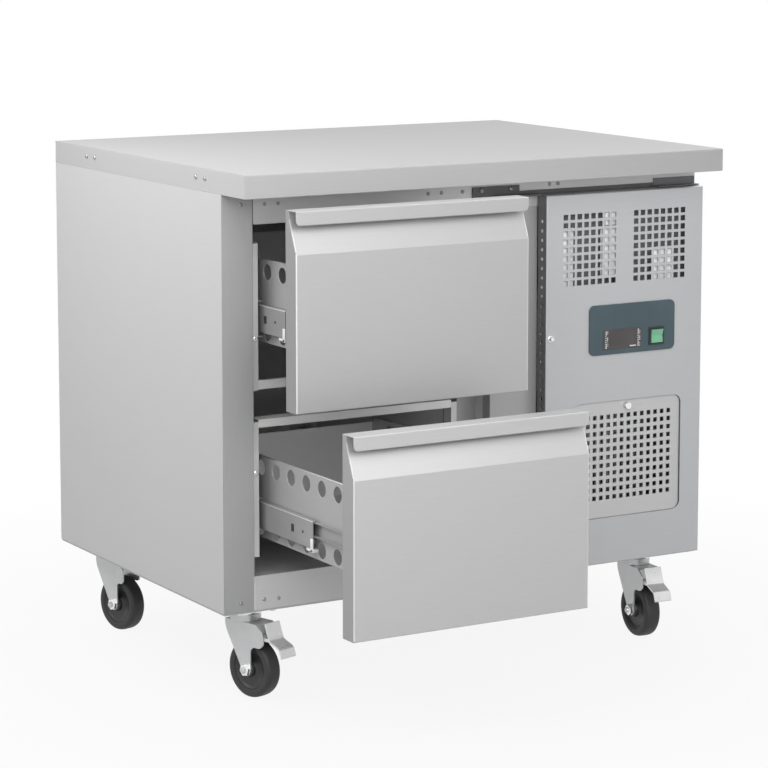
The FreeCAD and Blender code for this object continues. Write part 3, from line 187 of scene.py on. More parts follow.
def painted_left_shade(tree, colour, grey):
    """Painted shade: faces that look to the left take a darker grey in place of the steel's colour."""
    place = tree.nodes.new("ShaderNodeTexCoord")
    parts = tree.nodes.new("ShaderNodeSeparateXYZ")
    link(tree, place.outputs["Normal"], parts.inputs["Vector"])
    mix = tree.nodes.new("ShaderNodeMix")
    mix.data_type = "RGBA"
    mix.inputs["A"].default_value = (grey, grey, grey, 1)
    link(tree, colour, mix.inputs["B"])
    unshaded_share = spread(tree, parts.outputs["X"], 0.0, 1.0, LEFT_SHADE_START, LEFT_SHADE_END)
    link(tree, unshaded_share, mix.inputs["Factor"])
    return mix.outputs["Result"]


def brushed(name, grey, axis, rough=0.4, metallic=0.38, specular=0.5, left_shade_grey=None):
    """Satin stainless steel: fine lines along one axis, with faint clouds from handling."""
    material, tree, shader = new_material(name)
    lines = noise(tree, LINE_SCALE, LINE_DETAIL, GRAIN[axis])
    cloud = noise(tree, HANDLING_SCALE, HANDLING_DETAIL)
    shade = spread(tree, lines, 0.0, 1.0, LINE_START, LINE_END)
    colour = tint(tree, shade, grey, LINE_DARK, LINE_LIGHT)
    # Where a grey is given, faces that look to the left get painted shade in that darker grey
    if left_shade_grey is not None:
        colour = painted_left_shade(tree, colour, left_shade_grey)
    link(tree, colour, shader.inputs["Base Color"])
    line_rough = spread(tree, lines, rough - LINE_ROUGH, rough + LINE_ROUGH)
    cloud_rough = spread(tree, cloud, *HANDLING_ROUGH)
    link(tree, combined(tree, "ADD", line_rough, cloud_rough), shader.inputs["Roughness"])
    shader.inputs["Metallic"].default_value = metallic
    shader.inputs["Specular IOR Level"].default_value = specular
    bump(tree, shader, lines, LINE_STRENGTH, LINE_RELIEF, SHEET_EASE)
    return material


def plated(name, grey, rough=0.3, metallic=0.85, patch=70.0, contrast=0.1, ease=0.0006):
    """Zinc plated or bright pressed metal, with small spangles."""
    material, tree, shader = new_material(name)
    fleck = noise(tree, patch, FLECK_DETAIL)
    shade = spread(tree, fleck, 0.0, 1.0)
    colour = tint(tree, shade, grey, 1.0 - contrast, 1.0 + contrast * FLECK_LIGHT_SHARE)
    link(tree, colour, shader.inputs["Base Color"])
    fleck_rough = spread(tree, fleck, rough - FLECK_SMOOTHER, rough + FLECK_ROUGHER)
    link(tree, fleck_rough, shader.inputs["Roughness"])
    shader.inputs["Metallic"].default_value = metallic
    bump(tree, shader, fleck, FLECK_STRENGTH, FLECK_RELIEF, ease)
    return material


def moulded(name, colour, rough=0.45, grain=420.0, depth=0.12, coat=0.0):
    """Moulded plastic, rubber, film or enamel with a fine skin."""
    material, tree, shader = new_material(name)
    skin = noise(tree, grain, SKIN_DETAIL)
    cloud = noise(tree, MOULD_SCALE, MOULD_DETAIL)
    shade = spread(tree, cloud, 0.0, 1.0)
    link(tree, tint(tree, shade, colour, MOULD_DARK, MOULD_LIGHT), shader.inputs["Base Color"])
    link(tree, spread(tree, skin, rough - SKIN_ROUGH, rough + SKIN_ROUGH), shader.inputs["Roughness"])
    shader.inputs["Coat Weight"].default_value = coat
    bump(tree, shader, skin, depth, SKIN_RELIEF)
    return material


# Materials

side_steel = brushed("side_steel", (0.50, 0.50, 0.503), "y")
# The service panel's left flank gets painted shade
panel_steel = brushed("panel_steel", (0.485, 0.492, 0.505), "x", left_shade_grey=0.15)
grille_steel = brushed("grille_steel", (0.53, 0.53, 0.532), "x")
# Lit and shaded copies of one frame steel: the rails get a lighter copy that stands in for light under the
# worktop's overhang, and the stile a darker, duller one
stile_steel = brushed("stile_steel", (0.37, 0.37, 0.374), "z", rough=0.5, metallic=0.1)
rail_steel = brushed("rail_steel", (0.57, 0.57, 0.575), "x")
# One drawer steel in a darker copy for the upper front and a lighter copy for the lower, set for how light
# falls on each; both paint shade on their left flanks
upper_steel = brushed("upper_drawer_steel", (0.42, 0.42, 0.422), "x", left_shade_grey=0.26)
lower_steel = brushed("lower_drawer_steel", (0.475, 0.475, 0.477), "x", left_shade_grey=0.33)
box_steel = brushed("box_steel", (0.40, 0.40, 0.405), "y")
tray_steel = brushed("tray_steel", (0.64, 0.64, 0.64), "y")
mullion_steel = brushed("mullion_steel", (0.39, 0.39, 0.395), "z")
recess_steel = brushed("recess_steel", (0.37, 0.37, 0.375), "z")
strip_steel = brushed("strip_steel", (0.62, 0.62, 0.62), "z")
# A lighter steel for thin strips that paint highlights along edges
highlight_steel = brushed("highlight_steel", (0.66, 0.66, 0.66), "z", rough=0.35, metallic=0.3)
bar_steel = brushed("bar_steel", (0.78, 0.78, 0.77), "x")
top_steel = brushed("worktop_steel", (0.42, 0.42, 0.42), "x", rough=0.6, metallic=0.2, specular=0.05)
inner_steel = brushed("lining_steel", (0.70, 0.70, 0.70), "y", rough=0.5, metallic=0.2)
hinge_steel = brushed("hinge_steel", (0.14, 0.14, 0.145), "x")

zinc = plated("zinc_plate", (0.58, 0.585, 0.59), rough=0.34, metallic=0.6, patch=45.0, contrast=0.06)
pedal_zinc = plated("pedal_zinc", (0.72, 0.72, 0.72), metallic=0.6, patch=45.0, contrast=0.05)
slide_zinc = plated(
    "slide_zinc", (0.34, 0.34, 0.34), rough=0.36, metallic=0.5, patch=30.0, contrast=0.04, ease=0.0009)
screw_steel = plated(
    "screw_steel", (0.34, 0.34, 0.34), metallic=0.8, patch=40.0, contrast=0.06, ease=0.0003)
dull_zinc = plated("galvanised_sheet", (0.42, 0.43, 0.44), rough=0.42, metallic=0.6)
bright = plated(
    "bright_metal", (0.82, 0.82, 0.82), rough=0.18, metallic=0.9, patch=40.0, contrast=0.06, ease=0.0003)
fin_metal = plated("fin_stack", (0.45, 0.46, 0.47), rough=0.4, metallic=0.7, patch=160.0)
baffle_zinc = plated("baffle_zinc", (0.90, 0.90, 0.90), rough=0.4, metallic=0.2, patch=60.0, contrast=0.04)

rubber = moulded("grey_rubber", (0.023, 0.023, 0.024), rough=0.55, grain=500.0, depth=0.2)
hub_plastic = moulded("hub_plastic", (0.022, 0.022, 0.023), rough=0.42)
seal = moulded("gasket_rubber", (0.16, 0.16, 0.165), rough=0.55, grain=300.0, depth=0.15)
black_plastic = moulded("black_plastic", (0.02, 0.02, 0.022), rough=0.4)
black_steel = moulded("black_enamel", (0.055, 0.055, 0.056), rough=0.38, grain=200.0, depth=0.15, coat=0.3)
guide_plastic = moulded("guide_plastic", (0.22, 0.22, 0.22), rough=0.6)
white_plastic = moulded("white_plastic", (0.78, 0.78, 0.77), rough=0.4)
fascia_film = moulded("fascia_film", (0.054, 0.088, 0.102), grain=600.0, depth=0.06)
window_glass = moulded("display_glass", (0.042, 0.037, 0.035), rough=0.16, grain=200.0, depth=0.0, coat=0.5)
screen_film = moulded("screen_film", (0.040, 0.035, 0.034), rough=0.16, grain=200.0, depth=0.0, coat=0.5)
green_lens = moulded("green_lens", (0.17, 0.50, 0.29), rough=0.2, grain=60.0, depth=0.06, coat=0.6)
mark_white = moulded("printed_marks", (0.72, 0.70, 0.70), rough=0.5)
foam = moulded("foam_board", (0.66, 0.64, 0.58), rough=0.85, grain=260.0, depth=0.4)
board = moulded("core_board", (0.46, 0.455, 0.45), rough=0.75, grain=180.0, depth=0.3)

NODE_MATERIALS = {
    "worktop_skin": top_steel,
    "worktop_core": board,
    "left_side_panel": side_steel,
    "right_side_panel": side_steel,
    "back_panel": dull_zinc,
    "base_panel": dull_zinc,
    "left_stile": stile_steel,
    "top_rail": rail_steel,
    "bottom_rail": rail_steel,
    "mullion": mullion_steel,
    "recess_panel": recess_steel,
    "inner_liner": inner_steel,
    "insulation": foam,
    "slide_uprights": strip_steel,
    "cross_bars": bar_steel,
    "slide_outer_members": slide_zinc,
    "hinge_plate": black_steel,
    "panel_hinges": hinge_steel,
    "castor_plates": zinc,
    "compressor": black_steel,
    "condenser": fin_metal,
    "condenser_shroud": dull_zinc,
    "condenser_fan": black_plastic,
    "evaporator": fin_metal,
    "evaporator_cover": inner_steel,
    "evaporator_fan": black_plastic,
    "service_panel": panel_steel,
    "control_fascia": fascia_film,
    "display_window": window_glass,
    "switch_bezel": black_plastic,
    "power_rocker": green_lens,
    "filter_grille": grille_steel,
    "filter_pan": dull_zinc,
    "filter_knob": bright,
    "upper_drawer_front": upper_steel,
    "lower_drawer_front": lower_steel,
    "castor_front_left_pedal": pedal_zinc,
    "castor_front_right_pedal": pedal_zinc,
}
for drawer in DRAWERS:
    NODE_MATERIALS[drawer + "_drawer_core"] = board
    NODE_MATERIALS[drawer + "_drawer_inner_panel"] = stile_steel
    NODE_MATERIALS[drawer + "_drawer_gasket"] = seal
    NODE_MATERIALS[drawer + "_drawer_sides"] = box_steel
    NODE_MATERIALS[drawer + "_drawer_tray"] = tray_steel
    NODE_MATERIALS[drawer + "_slide_inner"] = slide_zinc
    NODE_MATERIALS[drawer + "_slide_middle"] = slide_zinc
for corner in CASTORS:
    NODE_MATERIALS["castor_%s_fork" % corner] = zinc
    NODE_MATERIALS["castor_%s_wheel" % corner] = rubber
for name, item in nodes.items():
    item.data.materials.clear()
    item.data.materials.append(NODE_MATERIALS[name])


# Mesh helpers

HEXAGON = 6
SMALL_ROUND = 24
LOCK_ROUND = 32
RACE_ROUND = 48
WHEEL_ROUND = 64
TURNED_CREASE = 40
BOX_CREASE = 50
WIDEST_EASE = 0.45


def piece(name, mesh, material, body, matrix=None):
    """Places a mesh in the scene and gives it a body and a slot. A mesh with a material keeps its own."""
    item = bpy.data.objects.new(name, mesh)
    scene.collection.objects.link(item)
    if not mesh.materials:
        mesh.materials.append(material)
    if matrix is not None:
        item.matrix_world = matrix
    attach(item, body)
    return item


def smooth_mesh(name, bm, crease):
    """A smooth mesh that stays sharp where its faces meet at more than an angle in degrees."""
    for face in bm.faces:
        face.smooth = True
    mesh = bpy.data.meshes.new(name)
    bm.to_mesh(mesh)
    bm.free()
    mesh.set_sharp_from_angle(angle=math.radians(crease))
    return mesh


def lathe(name, profile, segments):
    """A turned form about local Z, from pairs of radius and height, with a number of flats."""
    bm = bmesh.new()
    rings = []
    for radius, height in profile:
        if radius <= 0:
            rings.append([bm.verts.new((0, 0, height))])
            continue
        ring = []
        for step in range(segments):
            angle = 2 * math.pi * step / segments
            ring.append(bm.verts.new((radius * math.cos(angle), radius * math.sin(angle), height)))
        rings.append(ring)
    for low, high in zip(rings, rings[1:]):
        for step in range(segments):
            after = (step + 1) % segments
            corners = [low[step % len(low)], low[after % len(low)]]
            corners += [high[after % len(high)], high[step % len(high)]]
            unique = list(dict.fromkeys(corners))
            if len(unique) > 2:
                bm.faces.new(unique)
    bmesh.ops.recalc_face_normals(bm, faces=bm.faces)
    return smooth_mesh(name, bm, TURNED_CREASE)


def rounded_box(name, low, high, radius):
    """A box with soft edges between two corners."""
    bm = bmesh.new()
    bmesh.ops.create_cube(bm, size=1.0)
    size = Vector(high) - Vector(low)
    middle = (Vector(high) + Vector(low)) / 2
    bmesh.ops.scale(bm, vec=size, verts=bm.verts)
    bmesh.ops.translate(bm, vec=middle, verts=bm.verts)
    width = min(radius, min(size) * WIDEST_EASE)
    edges = list(bm.edges)
    bmesh.ops.bevel(bm, geom=edges, offset=width, segments=2, profile=0.5, affect="EDGES")
    return smooth_mesh(name, bm, BOX_CREASE)


def merged(name, boxes, radius):
    """Several soft-edged boxes as one mesh."""
    bm = bmesh.new()
    for low, high in boxes:
        part = rounded_box("part", low, high, radius)
        bm.from_mesh(part)
        bpy.data.meshes.remove(part)
    mesh = bpy.data.meshes.new(name)
    bm.to_mesh(mesh)
    bm.free()
    return mesh


def corners_of(x_span, y_span, z_span):
    """The lowest and highest corners of a box, from its span along each axis."""
    return tuple(zip(x_span, y_span, z_span))


def from_place(place, span):
    """A span that is given from a place on its axis."""
    return place + span[0], place + span[1]


def facing(at, normal):
    """A matrix that takes local Z to a direction, at a place."""
    turn = Vector((0, 0, 1)).rotation_difference(Vector(normal)).to_matrix().to_4x4()
    return Matrix.Translation(Vector(at)) @ turn


def upright_facing(at, normal):
    """The same for a level direction, with local Y kept upright."""
    along = Vector(normal).normalized()
    up = Vector((0, 0, 1))
    side = up.cross(along)
    turn = Matrix((side, up, along)).transposed().to_4x4()
    return Matrix.Translation(Vector(at)) @ turn


# Camera

CAMERA_AT = (-2.45093, -4.04067, 1.27567)
CAMERA_DIP = 7.503
CAMERA_TURN = -30.404
LENS = 134.37
SENSOR = 36.0
SHIFT = -0.15
FARTHEST = 60.0

camera_data = bpy.data.cameras.new("camera")
camera_data.lens = LENS
camera_data.sensor_width = SENSOR
camera_data.shift_y = SHIFT
camera_data.clip_end = FARTHEST
camera = bpy.data.objects.new("camera", camera_data)
camera.location = CAMERA_AT
camera.rotation_euler = (math.radians(90 - CAMERA_DIP), 0.0, math.radians(CAMERA_TURN))
scene.collection.objects.link(camera)
scene.camera = camera


# World and floor

WORLD_LIGHT = 0.19
WORLD_SHOWN = 1.0
FLOOR_REACH = 30.0
FLOOR_GREY = 0.36
FLOOR_ROUGH = 0.8
GLOW_NEAR = 0.90
GLOW_FAR = 1.0
GLOW_START = 0.4
GLOW_END = 1.5


def shown_to(tree):
    """One where the camera, a mirror or a lens looks, and nought where light is gathered."""
    path = tree.nodes.new("ShaderNodeLightPath")
    seen = combined(tree, "MAXIMUM", path.outputs["Is Camera Ray"], path.outputs["Is Glossy Ray"])
    return combined(tree, "MAXIMUM", seen, path.outputs["Is Transmission Ray"])


world = bpy.data.worlds.new("studio")
scene.world = world
world.use_nodes = True
sky = world.node_tree
back = sky.nodes["Background"]
back.inputs["Color"].default_value = (1, 1, 1, 1)
sky_level = spread(sky, shown_to(sky), WORLD_LIGHT, WORLD_SHOWN, 0.0, 1.0)
link(sky, sky_level, back.inputs["Strength"])

floor_mesh = bpy.data.meshes.new("floor")
floor_corners = [(x * FLOOR_REACH, y * FLOOR_REACH, 0) for x, y in ((-1, -1), (1, -1), (1, 1), (-1, 1))]
floor_mesh.from_pydata(floor_corners, [], [(0, 1, 2, 3)])
floor = bpy.data.objects.new("floor", floor_mesh)
scene.collection.objects.link(floor)
floor_material, floor_tree, floor_shader = new_material("pale_floor")
floor_shader.inputs["Base Color"].default_value = (FLOOR_GREY, FLOOR_GREY, FLOOR_GREY, 1)
floor_shader.inputs["Roughness"].default_value = FLOOR_ROUGH
glow = floor_tree.nodes.new("ShaderNodeEmission")
blend = floor_tree.nodes.new("ShaderNodeMixShader")
ground = floor_tree.nodes.new("ShaderNodeNewGeometry")
away = floor_tree.nodes.new("ShaderNodeVectorMath")
away.operation = "LENGTH"
link(floor_tree, ground.outputs["Position"], away.inputs[0])
glow_level = spread(floor_tree, away.outputs["Value"], GLOW_NEAR, GLOW_FAR, GLOW_START, GLOW_END)
share = combined(floor_tree, "MULTIPLY", shown_to(floor_tree), glow_level)
link(floor_tree, share, blend.inputs["Fac"])
link(floor_tree, floor_shader.outputs["BSDF"], blend.inputs[1])
link(floor_tree, glow.outputs["Emission"], blend.inputs[2])
link(floor_tree, blend.outputs["Shader"], floor_tree.nodes["Material Output"].inputs["Surface"])
floor_mesh.materials.append(floor_material)


# Lamps

scene.view_settings.view_transform = "Standard"


def lamp(name, at, target, wide, tall, power):
    """A soft lamp at a place, turned to a target, with its size in metres and its power in watts."""
    data = bpy.data.lights.new(name, "AREA")
    data.shape = "ELLIPSE"
    data.size = wide
    data.size_y = tall
    data.energy = power
    item = bpy.data.objects.new(name, data)
    item.location = at
    item.rotation_euler = (Vector(target) - Vector(at)).to_track_quat("-Z", "Y").to_euler()
    item.visible_camera = False
    scene.collection.objects.link(item)


lamp("key", at=(-1.25, 0.2, 1.45), target=(-0.45, 0.2, 0.72), wide=1.0, tall=1.0, power=17)
lamp("front", at=(-0.45, -1.45, 1.45), target=(0.15, -0.3, 0.75), wide=2.6, tall=1.9, power=33)
lamp("fill", at=(-1.6, -2.7, 1.2), target=(-0.1, -0.2, 0.4), wide=3.8, tall=2.0, power=14)
lamp("top", at=(0.9, 0.4, 2.4), target=(0.2, 0.1, 0.8), wide=1.6, tall=1.6, power=12)
lamp("back", at=(2.3, 1.1, 2.4), target=(0.2, 0.2, 0.5), wide=1.6, tall=1.6, power=22)


# Screws

HEAD_PROFILE = [(0.0, 0.0), (1.0, 0.0), (1.0, 0.22), (0.93, 0.4), (0.76, 0.55), (0.5, 0.64), (0.0, 0.68)]
CROSS_ARMS = ((1.1, 0.2, 0.6), (0.2, 1.1, 0.6))
CROSS_HEIGHT = 0.7
FIRST_TURN = 0.6
NEXT_TURN = 1.1
SMALL_HEAD = 0.003
STILE_HEAD = 0.0034
LARGE_HEAD = 0.0036
UPRIGHT_HEAD = 0.0042

# Pairs of distances from the left edge and the foot of the front frame
STILE_SCREWS = [(0.0335, 0.644), (0.030, 0.015)]
RAIL_SCREWS = [(x, 0.643) for x in (0.075, 0.099, 0.372, 0.397, 0.437)] + [(0.605, 0.647), (0.622, 0.647)]
SILL_SCREWS = [(0.071, 0.016), (0.097, 0.015)]
UPRIGHT_SCREWS = [(0.0588, 0.433), (0.0588, 0.220)]
HINGE_SCREWS = [(0.472, 0.643), (0.528, 0.643)]

HINGE_PLATE_THICK = 0.0025
APRON_DEPTHS = (0.493, 0.461, 0.085, 0.054)
APRON_HEIGHT = 0.682
BACK_INSET = 0.06
BACK_HEIGHTS = (0.03, 0.33, 0.63)


def screw_mesh():
    """A pan head with a cross recess, of unit radius, its seat at local zero."""
    head = bpy.data.objects.new("screw_blank", lathe("screw_head", HEAD_PROFILE, SMALL_ROUND))
    scene.collection.objects.link(head)
    bm = bmesh.new()
    for size in CROSS_ARMS:
        made = bmesh.ops.create_cube(bm, size=1.0)["verts"]
        bmesh.ops.scale(bm, vec=size, verts=made)
        bmesh.ops.translate(bm, vec=(0, 0, CROSS_HEIGHT), verts=made)
    tool_mesh = bpy.data.meshes.new("screw_tool")
    bm.to_mesh(tool_mesh)
    bm.free()
    tool = bpy.data.objects.new("screw_tool", tool_mesh)
    scene.collection.objects.link(tool)
    step = head.modifiers.new("cross", "BOOLEAN")
    step.operation = "DIFFERENCE"
    step.use_self = True
    step.object = tool
    bpy.context.view_layer.update()
    cut = head.evaluated_get(bpy.context.evaluated_depsgraph_get())
    result = bpy.data.meshes.new_from_object(cut)
    bpy.data.objects.remove(head)
    bpy.data.objects.remove(tool)
    result.name = "screw"
    return result


SCREW = screw_mesh()
SCREW.materials.clear()
SCREW.materials.append(screw_steel)
BRIGHT_SCREW = SCREW.copy()
BRIGHT_SCREW.materials.clear()
BRIGHT_SCREW.materials.append(bright)


def screws(prefix, spots, normal, radius, mesh=SCREW):
    """Numbered screws on the cabinet, each with its cross turned a little further."""
    for number, at in enumerate(spots):
        turn = Matrix.Rotation(FIRST_TURN + number * NEXT_TURN, 4, "Z")
        scale = Matrix.Diagonal((radius, radius, radius, 1.0))
        place = facing(at, normal) @ turn @ scale
        piece("%s_%d" % (prefix, number + 1), mesh, screw_steel, "cabinet", place)


def front_spots(pairs, y=FRONT):
    """Places on the front frame, or on another plane that faces the front."""
    return [(LEFT + x, y, BASE + z) for x, z in pairs]


screws("stile_screw", front_spots(STILE_SCREWS), TO_FRONT, STILE_HEAD)
screws("rail_screw", front_spots(RAIL_SCREWS), TO_FRONT, SMALL_HEAD)
screws("sill_screw", front_spots(SILL_SCREWS), TO_FRONT, SMALL_HEAD)
apron_left = [(LEFT, FRONT + y, BASE + APRON_HEIGHT) for y in APRON_DEPTHS]
screws("apron_screw", apron_left, TO_LEFT, LARGE_HEAD)
apron_right = [(-x, y, z) for x, y, z in apron_left]
screws("apron_right_screw", apron_right, TO_RIGHT, LARGE_HEAD)
upright_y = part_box("slide_uprights")[0][1]
screws("upright_screw", front_spots(UPRIGHT_SCREWS, upright_y), TO_FRONT, UPRIGHT_HEAD, BRIGHT_SCREW)
screws("hinge_screw", front_spots(HINGE_SCREWS, FRONT - HINGE_PLATE_THICK), TO_FRONT, LARGE_HEAD)
back_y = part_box("back_panel")[1][1]
back_columns = (LEFT + BACK_INSET, 0.0, -LEFT - BACK_INSET)
back_spots = [(x, back_y, BASE + z) for x in back_columns for z in BACK_HEIGHTS]
screws("back_screw", back_spots, TO_BACK, LARGE_HEAD)


# Seams of the front frame

SEAM_DEPTH = (-0.0002, 0.0004)
SEAM_EASE = 0.0001
RAIL_SEAM = (0.0535, 0.0547)
RAIL_SEAM_TOP = 0.6605
SILL_SEAM = (0.0536, 0.0544)
SILL_SEAM_FOOT = 0.0005


def seam(name, x_span, z_span, material):
    """An upright line in the front frame, from its spans across and up from the frame's corner."""
    spans = from_place(LEFT, x_span), from_place(FRONT, SEAM_DEPTH), from_place(BASE, z_span)
    low, high = corners_of(*spans)
    piece(name, rounded_box(name, low, high, SEAM_EASE), material, "cabinet")


seam("rail_seam", RAIL_SEAM, (RAIL[0][2] - BASE, RAIL_SEAM_TOP), black_plastic)
seam("sill_seam", SILL_SEAM, (SILL_SEAM_FOOT, SILL[1][2] - BASE), bright)


# Castors

NUT_SEAT = 0.0195
RACE_FOOT = 0.1345
BOLT_SEAT = 0.146
BOLT_X = 0.029
BOLT_Y = 0.037
BOLT_SIDES = ((-1, -1), (1, -1), (1, 1), (-1, 1))

# Pairs of radius and distance along the axis, from the wheel's middle or from a seat
TYRE_SIDE = [
    (0.0325, 0.0105), (0.0335, 0.0126), (0.037, 0.0138), (0.041, 0.0140), (0.0437, 0.0131), (0.0457, 0.0112),
    (0.0466, 0.0083), (0.0469, 0.0040)]
HUB_SIDE = [
    (0.0055, 0.0168), (0.0120, 0.0168), (0.0128, 0.0156), (0.0132, 0.0105), (0.0150, 0.0090),
    (0.0200, 0.0083), (0.0270, 0.0083), (0.0295, 0.0092), (0.0312, 0.0112), (0.0326, 0.0116)]
NUT_PROFILE = [(0.0, 0.0), (0.0099, 0.0), (0.0099, 0.0048), (0.0086, 0.0058), (0.0052, 0.0060)]
STUD_PROFILE = [(0.0050, 0.0), (0.0050, 0.0080), (0.0042, 0.0092), (0.0, 0.0096)]
BOLT_PROFILE = [(0.0, 0.0), (0.0062, 0.0), (0.0062, 0.0036), (0.0054, 0.0044), (0.0, 0.0046)]
RACE_PROFILE = [
    (0.0251, 0.0), (0.0268, 0.0008), (0.0278, 0.003), (0.0278, 0.0052), (0.0268, 0.0075), (0.0251, 0.0083)]


def both_sides(half):
    """A closed profile that runs over the outside from one side of the wheel to the other and back."""
    return half + [(radius, -along) for radius, along in half[::-1]] + [half[0]]


TYRE = lathe("tyre", both_sides(TYRE_SIDE), WHEEL_ROUND)
HUB = lathe("hub", both_sides(HUB_SIDE), WHEEL_ROUND)
NUT = lathe("nut", NUT_PROFILE, HEXAGON)
STUD = lathe("stud", STUD_PROFILE, SMALL_ROUND)
BOLT = lathe("bolt", BOLT_PROFILE, HEXAGON)
RACE = lathe("race", RACE_PROFILE, RACE_ROUND)
JOINTS = {joint["name"]: joint for joint in frame["joints"]}
for corner in CASTORS:
    castor = "castor_%s_" % corner
    wheel = castor + "wheel"
    fork = castor + "fork"
    low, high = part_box(wheel)
    centre = (Vector(low) + Vector(high)) / 2
    axis = Vector(JOINTS[castor + "roll"]["axis"])
    spin = upright_facing(centre, axis)
    tyre = piece(castor + "tyre", TYRE, rubber, wheel, spin)
    piece(castor + "hub", HUB, hub_plastic, wheel, spin)
    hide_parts(wheel)
    for side, sign in (("inner", 1), ("outer", -1)):
        at = facing(centre + axis * sign * NUT_SEAT, axis * sign)
        piece(castor + side + "_nut", NUT, bright, fork, at)
        piece(castor + side + "_stud", STUD, zinc, fork, at)
    swivel = Vector(JOINTS[castor + "swivel"]["pos_m"])
    race_at = Matrix.Translation((swivel.x, swivel.y, RACE_FOOT))
    piece(castor + "race", RACE, bright, "cabinet", race_at)
    for number, (dx, dy) in enumerate(BOLT_SIDES):
        at = facing((swivel.x + dx * BOLT_X, swivel.y + dy * BOLT_Y, BOLT_SEAT), DOWN)
        piece("%sbolt_%d" % (castor, number + 1), BOLT, bright, "cabinet", at)


# Slides

# Distances out of and into a slide's outer face
CHEEK_FACE = (0.0011, 0.0005)
SHELF_FACE = (0.0011, 0.0098)
SLOT_FACE = (0.0003, 0.0002)
EDGE_FACE = (0.0001, 0.0011)

# Spans along a slide from its front end
BUMPER_RUN = (-0.001, 0.007)
TONGUE_RUN = (0.005, 0.019)
WIDE_SLOT_RUN = (0.060, 0.069)
SMALL_SLOT_RUN = (0.030, 0.034)
EDGE_RUN = (0.0002, 0.170)

# Heights from a slide's foot, its middle or its top
BUMPER_FOOT = -0.006
SHELF_TOP = -0.0004
TONGUE_RISE = (-0.0048, -0.0006)
CHEEK_BELOW_MIDDLE = -0.006
WIDE_SLOT_RISE = (-0.006, 0.006)
SMALL_SLOT_RISE = (-0.002, 0.002)
EDGE_RISE = (-0.0016, -0.0001)

BUMPER_EASE = 0.0012
TRIM_EASE = 0.0001
HEM_INSET = 0.0006
HEM_WIDTH = (-0.0012, 0.0012)
HEM_END = 0.001
HEM_RISE = (-0.0008, 0.0012)
HEM_EASE = 0.0009


def through_face(face, sign, distances):
    """A span across a face, from a distance outside it to a distance inside it, in rising order."""
    out, into = distances
    return sorted((face - sign * out, face + sign * into))


for drawer in DRAWERS:
    slide = drawer + "_slide"
    low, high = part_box(drawer + "_slide_middle")
    foot = low[2]
    middle = (low[2] + high[2]) / 2
    bumper_run = from_place(low[1], BUMPER_RUN)
    tongue_run = from_place(low[1], TONGUE_RUN)
    wide_slot_run = from_place(low[1], WIDE_SLOT_RUN)
    small_slot_run = from_place(low[1], SMALL_SLOT_RUN)
    edge_run = from_place(low[1], EDGE_RUN)
    cheek_rise = (foot + BUMPER_FOOT, middle + CHEEK_BELOW_MIDDLE)
    shelf_rise = (foot + BUMPER_FOOT, foot + SHELF_TOP)
    bumpers = []
    louvres = []
    edges = []
    for sign, face in ((1, low[0]), (-1, high[0])):
        cheek = through_face(face, sign, CHEEK_FACE)
        shelf = through_face(face, sign, SHELF_FACE)
        slot = through_face(face, sign, SLOT_FACE)
        edge = through_face(face, sign, EDGE_FACE)
        bumpers.append(corners_of(cheek, bumper_run, cheek_rise))
        bumpers.append(corners_of(shelf, bumper_run, shelf_rise))
        bumpers.append(corners_of(cheek, tongue_run, from_place(foot, TONGUE_RISE)))
        louvres.append(corners_of(slot, wide_slot_run, from_place(middle, WIDE_SLOT_RISE)))
        louvres.append(corners_of(slot, small_slot_run, from_place(middle, SMALL_SLOT_RISE)))
        # Strips of the lighter steel along each slide's top edges paint a highlight there
        edges.append(corners_of(edge, edge_run, from_place(high[2], EDGE_RISE)))
    piece(slide + "_edges", merged("slide_edge_highlight", edges, TRIM_EASE), highlight_steel, slide)
    piece(slide + "_bumpers", merged("bumper", bumpers, BUMPER_EASE), white_plastic, slide)
    piece(slide + "_louvres", merged("louvre", louvres, TRIM_EASE), black_plastic, slide)
    # Rounded hems along the top edges of the drawer sides: the rounding is real, and their bright metal
    # paints the highlight along those edges
    low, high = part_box(drawer + "_drawer_sides")
    hem_run = (low[1] + HEM_END, high[1] - HEM_END)
    hem_rise = from_place(high[2], HEM_RISE)
    hem_places = (low[0] + HEM_INSET, high[0] - HEM_INSET)
    hems = [corners_of(from_place(x, HEM_WIDTH), hem_run, hem_rise) for x in hem_places]
    piece(drawer + "_drawer_hems", merged("hem", hems, HEM_EASE), bright, drawer + "_drawer")


# Painted highlights on the folds at the sides of the drawer fronts: thin bars in a lighter steel

FOLD = 0.0014
FOLD_PROUD = 0.00005
FOLD_END = 0.0015
SLOPE_FOLD = 0.0010
SLOPE_FOLD_PROUD = 0.0001
SLOPE_FOLD_INSET = 0.0009
SLOPE_FOLD_START = 0.0005
SLOPE_FOOT = 0.2444
SLOPE_TOP = (0.0215, 0.2935)


def fold_highlight(name, start, end, radius, body):
    """A thin round bar between two places, in the lighter steel that paints a highlight along an edge."""
    along = Vector(end) - Vector(start)
    length = along.length
    profile = [(0.0, 0.0), (radius, 0.0), (radius, length), (0.0, length)]
    mesh = lathe(name, profile, SMALL_ROUND)
    piece(name, mesh, highlight_steel, body, facing(start, along.normalized()))


